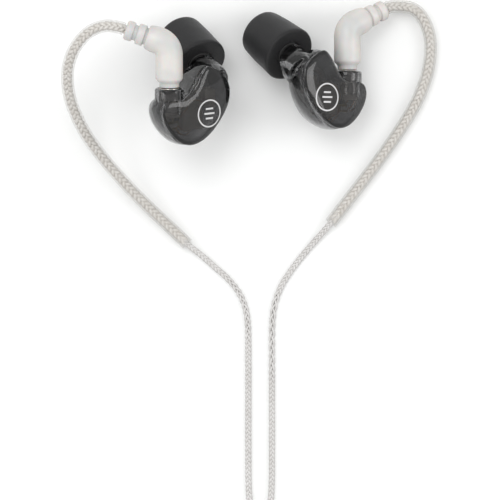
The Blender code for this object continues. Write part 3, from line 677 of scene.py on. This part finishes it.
def makeStrap():
    turn = Matrix.Rotation(math.radians(strap["angle"]), 4, "Z")
    middle = Vector((*mainCoil["middle"], 0)) + turn.to_3x3() @ Vector((mainCoil["radius"], 0, 0))
    place = Matrix.Translation(Vector((middle.x, middle.y, strap["middleHeight"])) * mm) @ turn
    inner, outer = strapLoop(0), strapLoop(strap["thick"])
    count, half = len(inner), strap["width"] / 2
    verts = []
    for loop, y in ((inner, -half), (inner, half), (outer, half), (outer, -half)):
        verts += [place @ (Vector((x, y, z)) * mm) for x, z in loop]
    faces = []
    for band in range(4):
        for i in range(count):
            j = (i + 1) % count
            nextBand = (band + 1) % 4
            faces.append((band * count + i, band * count + j, nextBand * count + j, nextBand * count + i))
    tie = addPiece("cableTie", verts, faces, "strap", "harness", ["cable_tie"], "tie_fabric")
    bevelled(tie, 0.12)
    # The strap's free end lies over its start, on the band's outer side.
    tab = []
    low, high = strap["tab"]
    corners = ((-half, low), (half, low), (half, high), (-half, high))
    for x in (strap["wide"] + strap["thick"] + 0.05, strap["wide"] + strap["thick"] * 2):
        tab += [place @ (Vector((x, y, z)) * mm) for y, z in corners]
    faces = [(0, 1, 2, 3), (4, 7, 6, 5), (0, 4, 5, 1), (1, 5, 6, 2), (2, 6, 7, 3), (3, 7, 4, 0)]
    end = addPiece("cableTieEnd", tab, faces, "strap", "harness", slot="tie_fabric")
    return [tie, bevelled(end, 0.15)]


tiePieces = makeStrap()

# Both strands run from their hook to the splitter, and the main cable from there on; the loop below only looks up
# each strand's line.
for prefix in earpieces:
    line = earpieces[prefix]["strandLine"]
print("cords, jack, slider and tie made")


# Elbow, strain relief, ear hook and its core, for each side.
# Height above the socket and share of the full radius; then reach along the leg and share; then the relief.
elbowFoot = [(0.6, 0.68), (0.62, 0.71), (0.75, 0.74), (1.55, 0.74), (1.75, 0.77), (2.35, 0.95), (2.6, 0.99),
             (3.0, 1.0), (4.2, 1.0), (5.4, 1.0), (6.4, 1.0)]
elbowLeg = [(3.0, 1.0), (3.7, 0.99), (4.3, 0.96), (4.9, 0.92), (5.25, 0.885), (5.42, 0.85), (5.5, 0.8)]
reliefProfile = [
    (0, 4.6), (1.55, 4.6), (1.62, 4.95), (1.85, 4.95), (2.1, 4.85), (2.3, 4.6), (2.36, 4.3), (2.36, 3.5),
    (2.32, 3.2), (2.2, 3.05), (1.95, 2.98), (1.85, 2.85), (1.85, 2.3), (1.95, 2.15), (2.3, 2.08), (2.45, 1.95),
    (2.52, 1.7), (2.54, 0.7), (2.5, 0.45), (2.35, 0.28), (2.15, 0.2), (2.05, 0.1), (2.05, -0.3), (0, -0.3),
]


def makeElbow(prefix):
    piece = earpieces[prefix]
    rise, leg, mouth = np.array(piece["rise"]), np.array(piece["leg"]), np.array(piece["mouth"])
    bend = math.radians(piece["bend"])
    trim = elbow["bendRadius"] * math.tan(bend / 2)
    corner = mouth + rise * elbow["rise"] * mm
    sideWay = (leg - rise * math.cos(bend)) / math.sin(bend)
    full = elbow["radius"]
    line, radii = [], []
    for height, radius in elbowFoot:
        line.append(mouth + rise * height * mm)
        radii.append(radius * full)
    steps = 24
    for step in range(steps + 1):
        turn = bend * step / steps
        before = corner - rise * trim * mm
        line.append(before + (rise * math.sin(turn) + sideWay * (1 - math.cos(turn))) * elbow["bendRadius"] * mm)
        radii.append(full)
    for reach, radius in elbowLeg:
        line.append(corner + leg * reach * mm)
        radii.append(radius * full)
    made = roundSkin(prefix + "Elbow", np.array(line), np.array(radii) * mm, 48, "frosted")
    settle(made, "harness", [prefix + "_elbow"])
    start = corner + leg * (elbow["leg"] + 0.3) * mm
    turned(prefix + "StrainRelief", reliefProfile, along(leg, start), "frosted", "harness",
           [prefix + "_strain_relief"], "frosted_elbow", 64, 0.05)


def roundSkin(name, line, radii, sides, look):
    # A swept skin whose rings turn with the line, so that it may bend any way.
    ahead = np.gradient(line, axis=0)
    ahead /= np.linalg.norm(ahead, axis=1)[:, None]
    side = np.cross(ahead[0], (0, 0, 1.0))
    verts = []
    for place, way, radius in zip(line, ahead, radii):
        side = side - way * np.dot(side, way)
        side /= np.linalg.norm(side)
        up = np.cross(side, way)
        for i in range(sides):
            turn = 2 * math.pi * i / sides
            verts.append(place + (side * math.cos(turn) + up * math.sin(turn)) * radius)
    return addPiece(name, verts, ringFaces(len(line), sides), look, None)


hook = {
    "outer": 1.5, "inner": 1.12, "sides": 32,
    "plait": {"count": 3, "sides": 10, "pitch": 4.0, "across": 0.63, "high": 0.30, "thick": 0.44},
}


def makeHook(prefix):
    spine = respaced(spines[prefix], 0.8 * mm)
    outer, outerFaces = sweep(spine, np.full(len(spine), hook["outer"] * mm), hook["sides"])
    inner, innerFaces = sweep(spine, np.full(len(spine), hook["inner"] * mm), hook["sides"])
    sides, count = hook["sides"], len(outer)
    faces = outerFaces[:-2] + [tuple(v + count for v in face) for face in innerFaces[:-2]]
    for first in (0, count - sides):
        for i in range(sides):
            j = (i + 1) % sides
            faces.append((first + i, first + j, count + first + j, count + first + i))
    addPiece(prefix + "HookSleeve", np.concatenate([outer, inner]), faces, "sleeve", "harness",
             [prefix + "_ear_hook"], "clear_sleeve")
    start = spine[0] - (spine[1] - spine[0]) / np.linalg.norm(spine[1] - spine[0]) * 0.8 * mm
    core = respaced(np.concatenate([[start], spine[:-1]]), 0.2 * mm)
    verts, faces = strands(core, "plait", hook["plait"])
    addPiece(prefix + "HookPlait", verts, faces, "creamPlait", "harness", [prefix + "_hook_core"],
             "plaited_cable", angle=60)


for prefix in earpieces:
    makeElbow(prefix)
    makeHook(prefix)
print("elbows and ear hooks made")

# The shell's sections, as in the CAD, in millimetres in the right earpiece's own frame.
faceOutline = [
    (-9.0, 5.0), (-11.4, 4.3), (-13.4, 2.9), (-14.9, 1.0), (-15.5, -1.4), (-15.0, -4.4), (-13.1, -7.7),
    (-10.2, -10.9), (-7.2, -12.8), (-4.2, -13.4), (-1.3, -12.5), (1.3, -10.2), (3.1, -7.4), (3.7, -4.9),
    (2.9, -2.9), (0.6, -2.1), (-2.2, -1.9), (-4.3, -0.8), (-5.8, 1.2), (-7.1, 3.3),
]
shell = {
    "outlineSteps": 120, "faceMiddle": (-6.2, -4.2), "lobeMiddle": (-4.9, -5.9), "lobeRadius": 8.6, "wall": 1.0,
    "rings": [(1.95, 0.975, 0.0), (1.6, 1.0, 0.0), (0.1, 1.03, 0.0), (-1.9, 1.03, 0.0), (-3.7, 0.97, 0.1),
              (-5.4, 0.83, 0.45), (-6.7, 0.6, 0.85), (-7.5, 0.32, 1.0)],
    "collarRadius": 3.5, "collarTop": 0.35, "collarFoot": -2.5,
    "neckShift": (-0.7, -1.0), "skinGrain": 0.26, "softening": 0.5, "softenings": 14,
}
neckProfile = [(0, -0.5), (3.1, -0.5), (3.35, -0.62), (3.5, -0.9), (3.7, -1.8), (4.0, -3.4), (4.1, -4.6),
               (3.8, -6.2), (0, -6.2)]
plateRings = [(1.98, 0.96, 0.0), (2.2, 0.99, 0.0), (2.6, 1.0, 0.0), (2.95, 0.975, 0.0), (3.2, 0.9, 0.03),
              (3.38, 0.78, 0.1), (3.52, 0.6, 0.25), (3.6, 0.4, 0.5)]
nozzle = {"tipPlace": (-12.9, 4.1, -5.9), "axis": (-0.06, 0.49, -0.87)}


def outlineLoop(count):
    corners = [np.array(p, float) for p in faceOutline]
    fine = []
    for i in range(len(corners)):
        around = [corners[(i + k - 1) % len(corners)] for k in range(4)]
        fine += [catmull(*around, step / 16) for step in range(16)]
    fine = np.array(fine + [fine[0]])
    lengths = distances(fine)
    wanted = np.linspace(0, lengths[-1], count + 1)[:-1]
    return np.stack([np.interp(wanted, lengths, fine[:, k]) for k in range(2)], axis=1)


def section(depth, size, roundness, inset=0.0):
    middle = np.array(shell["faceMiddle"])
    lobe = np.array(shell["lobeMiddle"])
    reach = outlineLoop(shell["outlineSteps"]) - middle
    roundReach = reach / np.linalg.norm(reach, axis=1)[:, None] * shell["lobeRadius"]
    spoke = (reach + (roundReach - reach) * roundness) * size
    spoke = spoke * (1 - inset / np.linalg.norm(spoke, axis=1))[:, None]
    flat = middle + (lobe - middle) * roundness + spoke
    return np.column_stack([flat, np.full(len(flat), depth)])


def finerRings(rings, between=4):
    ends = [tuple(2 * np.array(rings[0]) - np.array(rings[1])), *rings,
            tuple(2 * np.array(rings[-1]) - np.array(rings[-2]))]
    made = []
    for i in range(len(rings) - 1):
        four = [np.array(r, float) for r in ends[i:i + 4]]
        made += [catmull(*four, step / between) for step in range(between)]
    made.append(np.array(rings[-1], float))
    return [(float(d), float(s), float(min(1, max(0, r)))) for d, s, r in made]


def loftMesh(sections):
    count = len(sections[0])
    verts = np.concatenate(sections)
    faces = ringFaces(len(sections), count, closed=False)
    for first, towards in ((0, 0), ((len(sections) - 1) * count, len(sections) - 1)):
        # Each end is closed by two shrinking rings and a middle point, so that it stays smooth.
        edge = sections[towards]
        middle = edge.mean(axis=0)
        previous = first
        for shrink in (0.66, 0.33):
            start = len(verts)
            verts = np.concatenate([verts, middle + (edge - middle) * shrink])
            for i in range(count):
                j = (i + 1) % count
                faces.append((previous + i, previous + j, start + j, start + i))
            previous = start
        verts = np.concatenate([verts, [middle]])
        for i in range(count):
            faces.append((previous + i, previous + (i + 1) % count, len(verts) - 1))
    return verts, faces


def placed(prefix, verts):
    # From the right earpiece's own frame, in millimetres, to the table's, mirrored for the left one.
    side = earpieces[prefix]["side"]
    return [earpieces[prefix]["frame"] @ (Vector((side * v[0], v[1], v[2])) * mm) for v in verts]


def mirroredPlace(prefix, direction, place):
    side = earpieces[prefix]["side"]
    local = along((side * direction[0], direction[1], direction[2]),
                  Vector((side * place[0], place[1], place[2])) * mm)
    return earpieces[prefix]["frame"] @ local


def loft(prefix, name, sections):
    verts, faces = loftMesh(sections)
    return addPiece(name, placed(prefix, verts), faces, "smoke", None, angle=60)


def smokeSkin(piece):
    # The tools bring their own material, so the carved piece gets its one look again.
    piece.data.shade_smooth()
    piece.data.set_sharp_from_angle(angle=math.radians(45))
    piece.data.materials.clear()
    piece.data.materials.append(looks["smoke"])


def joinMeshes(target, others):
    shape = bmesh.new()
    shape.from_mesh(target.data)
    for other in others:
        shape.from_mesh(other.data)
        bpy.data.objects.remove(other)
    shape.to_mesh(target.data)
    shape.free()


def makeShell(prefix, nozzlePlace, plugPlace):
    body = prefix + "_earpiece"
    outer = loft(prefix, prefix + "Shell", [section(*r) for r in finerRings(shell["rings"])])
    top, foot, wide = shell["collarTop"], shell["collarFoot"], shell["collarRadius"]
    collarProfile = [(0, top), (wide - 0.35, top), (wide - 0.1, top - 0.1), (wide, top - 0.35), (wide, foot),
                     (0, foot)]
    collar = addPiece("collarTool", *turnedMesh(collarProfile, plugPlace, 64), "smoke", None)
    verts, faces = turnedMesh(neckProfile, nozzlePlace, 64)
    side, turnOut = earpieces[prefix]["side"], earpieces[prefix]["frame"].to_3x3()
    shift = turnOut @ (Vector((side * shell["neckShift"][0], shell["neckShift"][1], 0)) * mm)
    away, near = nozzlePlace.to_3x3() @ Vector((0, 0, 1)), nozzlePlace.translation
    # The neck leans into the shell: the deeper a point lies, the further it is shifted.
    verts = [v + shift * min(1, max(0, (-(v - near).dot(away) / mm - 0.5) / 3)) for v in verts]
    root = addPiece("rootTool", verts, faces, "smoke", None)
    joinMeshes(outer, [collar, root])
    remesh = outer.modifiers.new("oneSkin", "REMESH")
    remesh.mode = "VOXEL"
    remesh.voxel_size = shell["skinGrain"] * mm
    remesh.use_smooth_shade = True
    soften = outer.modifiers.new("soften", "SMOOTH")
    soften.factor = shell["softening"]
    soften.iterations = shell["softenings"]
    applyModifiers(outer)
    hollowRings = [(3.4, 0.95, 0.0)] + finerRings(shell["rings"][1:-1])
    carve(outer, loft(prefix, "hollowTool", [section(*r, shell["wall"]) for r in hollowRings]))
    cutTurned(outer, "nozzleHole", [(0, 3.0), (2.34, 3.0), (2.34, -7.0), (0, -7.0)], nozzlePlace)
    cutTurned(outer, "socketHole", [(0, 1.0), (2.58, 1.0), (2.58, -0.5), (2.4, -0.6), (2.4, -6.0), (0, -6.0)],
              plugPlace)
    smokeSkin(outer)
    settle(outer, body, [prefix + "_shell"])

    plate = loft(prefix, prefix + "FacePlate", [section(*r) for r in finerRings(plateRings, 3)])
    cutTurned(plate, "collarSpace", [(0, 1.0), (3.72, 1.0), (3.72, -2.5), (2.5, -2.7), (2.5, -5.8), (0, -5.8)],
              plugPlace, 64)
    smokeSkin(plate)
    settle(plate, body, [prefix + "_face_plate"])
    return outer, plate


badge = {
    "middle": (-9.0, -6.1), "radius": 3.35, "width": 0.34, "steps": 96, "barWidth": 0.42,
    "bars": [(0.0, 2.9), (1.15, 2.1), (-1.15, 2.1)], "sunk": -0.03, "proud": 0.035,
}


def makeBadge(prefix, plate):
    # A plain ring with three level bars, printed on the face plate: a mark of no maker.
    side = earpieces[prefix]["side"]
    surface = BVHTree.FromObject(plate, bpy.context.evaluated_depsgraph_get())
    down = (earpieces[prefix]["frame"].to_3x3() @ Vector((0, 0, -1))).normalized()
    outer, inner = badge["radius"], badge["radius"] - badge["width"]
    turns = [2 * math.pi * i / badge["steps"] for i in range(badge["steps"])]
    ring = [tuple(r * f(t) for r in (outer, inner) for f in (math.cos, math.sin)) for t in turns]
    verts, faces = [], []

    def onPlate(x, y, lift):
        above = Vector((side * (badge["middle"][0] + x), badge["middle"][1] + y, 8.0)) * mm
        hit = surface.ray_cast(earpieces[prefix]["frame"] @ above, down)[0]
        return hit - down * lift * mm

    def strip(pairs, closed):
        first = len(verts)
        for ax, ay, bx, by in pairs:
            for lift in (badge["sunk"], badge["proud"]):
                verts.append(onPlate(ax, ay, lift))
                verts.append(onPlate(bx, by, lift))
        count = len(pairs)
        for i in range(count if closed else count - 1):
            a, b = first + 4 * i, first + 4 * ((i + 1) % count)
            faces.extend([(a, a + 1, b + 1, b), (a + 2, b + 2, b + 3, a + 3), (a, b, b + 2, a + 2),
                          (a + 1, a + 3, b + 3, b + 1)])
        if not closed:
            last = first + 4 * (count - 1)
            faces.extend([(first, first + 2, first + 3, first + 1), (last, last + 1, last + 3, last + 2)])

    strip(ring, True)
    for height, length in badge["bars"]:
        half = badge["barWidth"] / 2
        strip([(x, height - half, x, height + half) for x in np.linspace(-length / 2, length / 2, 12)], False)
    addPiece(prefix + "Badge", verts, faces, "print", prefix + "_earpiece", [prefix + "_badge"], "badge_print",
             angle=60)


foamTip = {
    "length": 12.0, "dentSize": 0.006, "dentDepth": 0.00014, "fill": 0.95,
    "near": [(5.95, 9.6), (6.15, 8.0), (6.35, 6.0), (6.5, 4.0), (6.65, 2.2), (6.76, 1.0), (6.78, 0.6), (6.7, 0.28),
             (6.5, 0.08), (6.2, 0.0), (5.2, 0.0), (4.2, 0.02), (3.45, 0.06), (3.2, 0.25), (3.12, 0.6), (3.12, 4.5),
             (3.12, 8.1), (2.3, 8.3), (2.3, 10.0)],
}


def makeTip(prefix, nozzlePlace):
    tip = prefix + "_tip"
    long = foamTip["length"]
    far = [(2.3, 0.3), (2.5, 0.05), (2.9, 0), (4.4, 0), (4.95, 0.1), (5.4, 0.32), (5.7, 0.75), (5.82, 1.3)]
    profile = [(radius, long - below) for radius, below in far] + foamTip["near"]
    verts, faces = turnedMesh(profile, nozzlePlace, 96)
    foam = addPiece(prefix + "FoamTip", verts, faces, "foam", tip, [prefix + "_foam_tip"], "ear_foam", angle=70)
    fine = foam.modifiers.new("finer", "SUBSURF")
    fine.levels = fine.render_levels = 1
    texture = bpy.data.textures.new(prefix + "FoamDents", "CLOUDS")
    texture.noise_scale = foamTip["dentSize"]
    dents = foam.modifiers.new("dents", "DISPLACE")
    dents.texture = texture
    dents.texture_coords = "GLOBAL"
    dents.strength = foamTip["dentDepth"]
    dents.mid_level = 0.5
    applyModifiers(foam)
    core = [(2.62, 8.0), (2.68, 8.05), (2.95, 8.05), (3.0, 8.0), (3.0, 0.2), (2.95, 0.12), (2.68, 0.12),
            (2.62, 0.2)]
    turned(prefix + "TipCore", core, nozzlePlace, "rubber", tip, [prefix + "_tip_core"], "tip_core_rubber", 64, 0)


def makeNozzle(prefix, nozzlePlace):
    body = prefix + "_earpiece"
    profile = [(1.5, 5.1), (1.6, 5.2), (2.2, 5.2), (2.3, 5.1), (2.45, 4.9), (2.45, 4.45), (2.38, 4.3),
               (2.28, 4.15), (2.28, 0.4), (2.2, 0.3), (2.2, -0.1), (2.28, -0.2), (2.28, -5.5), (2.2, -5.6),
               (1.6, -5.6), (1.5, -5.5)]
    turned(prefix + "Nozzle", profile, nozzlePlace, "blackPlastic", body, [prefix + "_nozzle"], "nozzle_plastic",
           64, 0)
    screen = [(0, 4.98), (0.7, 4.96), (1.2, 4.92), (1.42, 4.85), (1.42, 4.6), (0, 4.6)]
    turned(prefix + "NozzleFilter", screen, nozzlePlace, "mesh", body, [prefix + "_nozzle_filter"], "filter_mesh",
           48, 0)


connector = [
    ("Socket", "nickel", "socket", 64,
     [(1.7, -0.75), (1.85, -0.68), (2.2, -0.68), (2.34, -0.8), (2.34, -2.6), (2.2, -2.7), (2.2, -2.9),
      (2.34, -3.0), (2.34, -5.1), (2.25, -5.2), (0.95, -5.2), (0.95, -4.5), (1.7, -4.5)]),
    ("SocketContact", "gold", "socket_contact", 40,
     [(0, -4.0), (0.42, -4.0), (0.42, -2.0), (0.6, -2.0), (0.6, -4.2), (0.8, -4.4), (0.8, -5.6), (0, -5.6)]),
    ("PlugBarrel", "nickel", "plug_barrel", 64,
     [(0.75, 0.45), (2.15, 0.45), (2.36, 0.38), (2.4, 0.25), (2.4, -0.15), (2.3, -0.25), (1.62, -0.3),
      (1.1, -0.32), (1.1, -1.4), (1.02, -1.45), (1.02, -1.75), (1.1, -1.8), (1.1, -2.8), (1.0, -2.9),
      (0.75, -2.9)]),
    ("PlugPin", "gold", "plug_pin", 40,
     [(0, 0.4), (0.6, 0.4), (0.6, -1.0), (0.25, -1.3), (0.25, -3.4), (0.12, -3.55), (0, -3.6)]),
]
snapRing = {"radius": 1.38, "wire": 0.13, "depth": -1.6, "gap": 20, "steps": 60}


def makeConnector(prefix, plugPlace):
    for name, look, node, steps, profile in connector:
        body = prefix + "_earpiece" if name.startswith("Socket") else "harness"
        turned(prefix + name, profile, plugPlace, look, body, [prefix + "_" + node], look, steps, 0)
    around = 360 - 2 * snapRing["gap"]
    ring = []
    for i in range(snapRing["steps"] + 1):
        turn = math.radians(snapRing["gap"] + around * i / snapRing["steps"])
        x, y = math.sin(turn) * snapRing["radius"], -math.cos(turn) * snapRing["radius"]
        ring.append(plugPlace @ (Vector((x, y, snapRing["depth"])) * mm))
    made = roundSkin(prefix + "SnapRing", np.array(ring), np.full(len(ring), snapRing["wire"] * mm), 14, "nickel")
    settle(made, prefix + "_snap", [prefix + "_snap_ring"])


# What the shell holds: drivers with a seam and a spout, the crossover board with its chips, a bracket, sound
# tubes and fine wires. Boxes: name, size, place, rounding; then the look, slot and the CAD node they stand for.
driverBoxes = [
    ("LowDriver", (5.6, 7.2, 3.2), (-6.3, -6.4, -1.4), 0.35, "low_driver"),
    ("LowDriverSeam", (5.72, 7.32, 0.24), (-6.3, -6.4, -1.4), 0.06, None),
    ("LowDriverSpout", (1.9, 0.9, 1.4), (-6.3, -2.6, -1.6), 0.2, None),
    ("HighDriver", (3.2, 4.2, 2.4), (-11.1, -3.1, -1.0), 0.3, "high_driver"),
    ("HighDriverSeam", (3.32, 4.32, 0.2), (-11.1, -3.1, -1.0), 0.05, None),
    ("HighDriverSpout", (1.2, 0.7, 1.0), (-11.1, -0.85, -1.1), 0.15, None),
]
boardBoxes = [
    ("Board", (2.8, 3.2, 0.7), (-1.5, -7.7, -0.9), 0.1, "board", "circuit_board", "crossover_board"),
    ("Chip1", (0.8, 1.3, 0.5), (-2.2, -6.9, -0.3), 0.08, "blackPlastic", "nozzle_plastic", None),
    ("Chip2", (0.7, 1.1, 0.5), (-0.9, -6.9, -0.3), 0.08, "insulator", "nozzle_plastic", None),
    ("Chip3", (1.7, 0.8, 0.5), (-1.5, -8.5, -0.3), 0.08, "insulator", "nozzle_plastic", None),
    ("SocketBracket", (4.4, 1.5, 0.5), (-0.2, -5.9, 0.6), 0.1, "driver", "driver_steel", None),
]
tubes = [
    ("SoundTube", [(-6.5, -2.4, -1.6), (-6.9, -0.6, -1.6), (-8.2, 0.4, -1.6), (-9.9, 0.8, -1.6)], 0.7, 24, True),
    ("HighSoundTube", [(-11.1, -0.6, -1.1), (-11.2, 0.2, -1.5), (-11.5, 0.9, -2.3)], 0.45, 20, False),
]
wires = [
    [(-1.0, -5.3, 0.1), (-0.4, -6.2, 0.5), (-0.8, -6.9, 0.3), (-1.2, -7.4, -0.1)],
    [(0.4, -5.4, 0.0), (1.0, -6.6, 0.4), (0.6, -7.8, 0.2), (-0.3, -8.6, -0.2)],
    [(0.9, -5.2, -0.4), (1.7, -6.6, 0.0), (1.4, -8.2, -0.1), (0.1, -9.1, -0.4)],
    [(-2.6, -8.6, -0.5), (-3.4, -9.6, -0.2), (-4.6, -10.3, -0.4), (-5.8, -10.2, -1.0)],
    [(-2.4, -9.0, -0.6), (-3.4, -10.4, -0.4), (-5.0, -11.0, -0.6), (-6.6, -10.3, -1.2)],
    [(-2.8, -7.2, -0.4), (-3.4, -5.4, 0.9), (-5.6, -3.0, 1.0), (-8.6, -3.6, 0.8), (-9.8, -4.4, -0.2)],
]


def boxIn(prefix, name, size, place, rounding, look, slot, node):
    side = earpieces[prefix]["side"]
    spot = Matrix.Translation(Vector((side * place[0], place[1], place[2])) * mm)
    roundedBlock(prefix + name, size, earpieces[prefix]["frame"] @ spot, look, prefix + "_earpiece",
                 [prefix + "_" + node] if node else (), slot, rounding)


def wireIn(prefix, name, route, radius, look, replaced=(), sides=12):
    line = respaced(smoothLine(placed(prefix, route)), 0.18 * mm)
    made = roundSkin(prefix + name, line, np.full(len(line), radius * mm), sides, look)
    settle(made, prefix + "_earpiece", replaced)


def makeInside(prefix):
    for name, size, place, rounding, node in driverBoxes:
        boxIn(prefix, name, size, place, rounding, "driver", "driver_steel", node)
    for box in boardBoxes:
        boxIn(prefix, *box)
    for name, route, radius, sides, stands in tubes:
        replaced = [prefix + "_sound_tube"] if stands else ()
        wireIn(prefix, name, route, radius, "soundTube", replaced, sides)
    for number, route in enumerate(wires):
        wireIn(prefix, "Wire" + str(number + 1), route, 0.1, "copper")


for prefix in earpieces:
    nozzlePlace = mirroredPlace(prefix, nozzle["axis"], nozzle["tipPlace"])
    plugPlace = mirroredPlace(prefix, (0, 1, 0), (0, 0, 0))
    shellPiece, platePiece = makeShell(prefix, nozzlePlace, plugPlace)
    makeBadge(prefix, platePiece)
    makeTip(prefix, nozzlePlace)
    makeNozzle(prefix, nozzlePlace)
    makeConnector(prefix, plugPlace)
    makeInside(prefix)
    print(prefix, "earpiece made:", len(shellPiece.data.polygons), "shell faces")


# A plain pale table and soft studio light. Lamps: name, place, size, power, turn in degrees.
studio = {
    "table": (0.93, 0.935, 0.93), "glow": 0.84,
    "lamps": [("overhead", (-0.25, 0.35, 0.9), 0.5, 2.6, (-22, -15, 0)),
              ("fromRight", (0.7, 0.05, 0.5), 0.35, 1.2, (0, 55, 0)),
              ("fromLeft", (-0.7, -0.1, 0.55), 0.35, 0.9, (0, -52, 0))],
}


def makeStage():
    bpy.ops.mesh.primitive_plane_add(size=4)
    floor = bpy.context.active_object
    floor.name = "paleTable"
    material, shader = startMaterial("paleTable", 0.85)
    shader.inputs["Base Color"].default_value = (*studio["table"], 1)
    floor.data.materials.append(material)
    world = bpy.data.worlds.new("softStudio")
    world.use_nodes = True
    background = world.node_tree.nodes["Background"]
    background.inputs["Color"].default_value = (1, 1, 1, 1)
    background.inputs["Strength"].default_value = studio["glow"]
    bpy.context.scene.world = world
    for name, place, size, power, turn in studio["lamps"]:
        lamp = bpy.data.lights.new(name, "AREA")
        lamp.size = size
        lamp.energy = power
        item = bpy.data.objects.new(name, lamp)
        item.location = place
        item.rotation_euler = [math.radians(a) for a in turn]
        bpy.context.scene.collection.objects.link(item)
    bpy.context.scene.view_settings.view_transform = "Standard"


makeStage()
print("table and lights made")
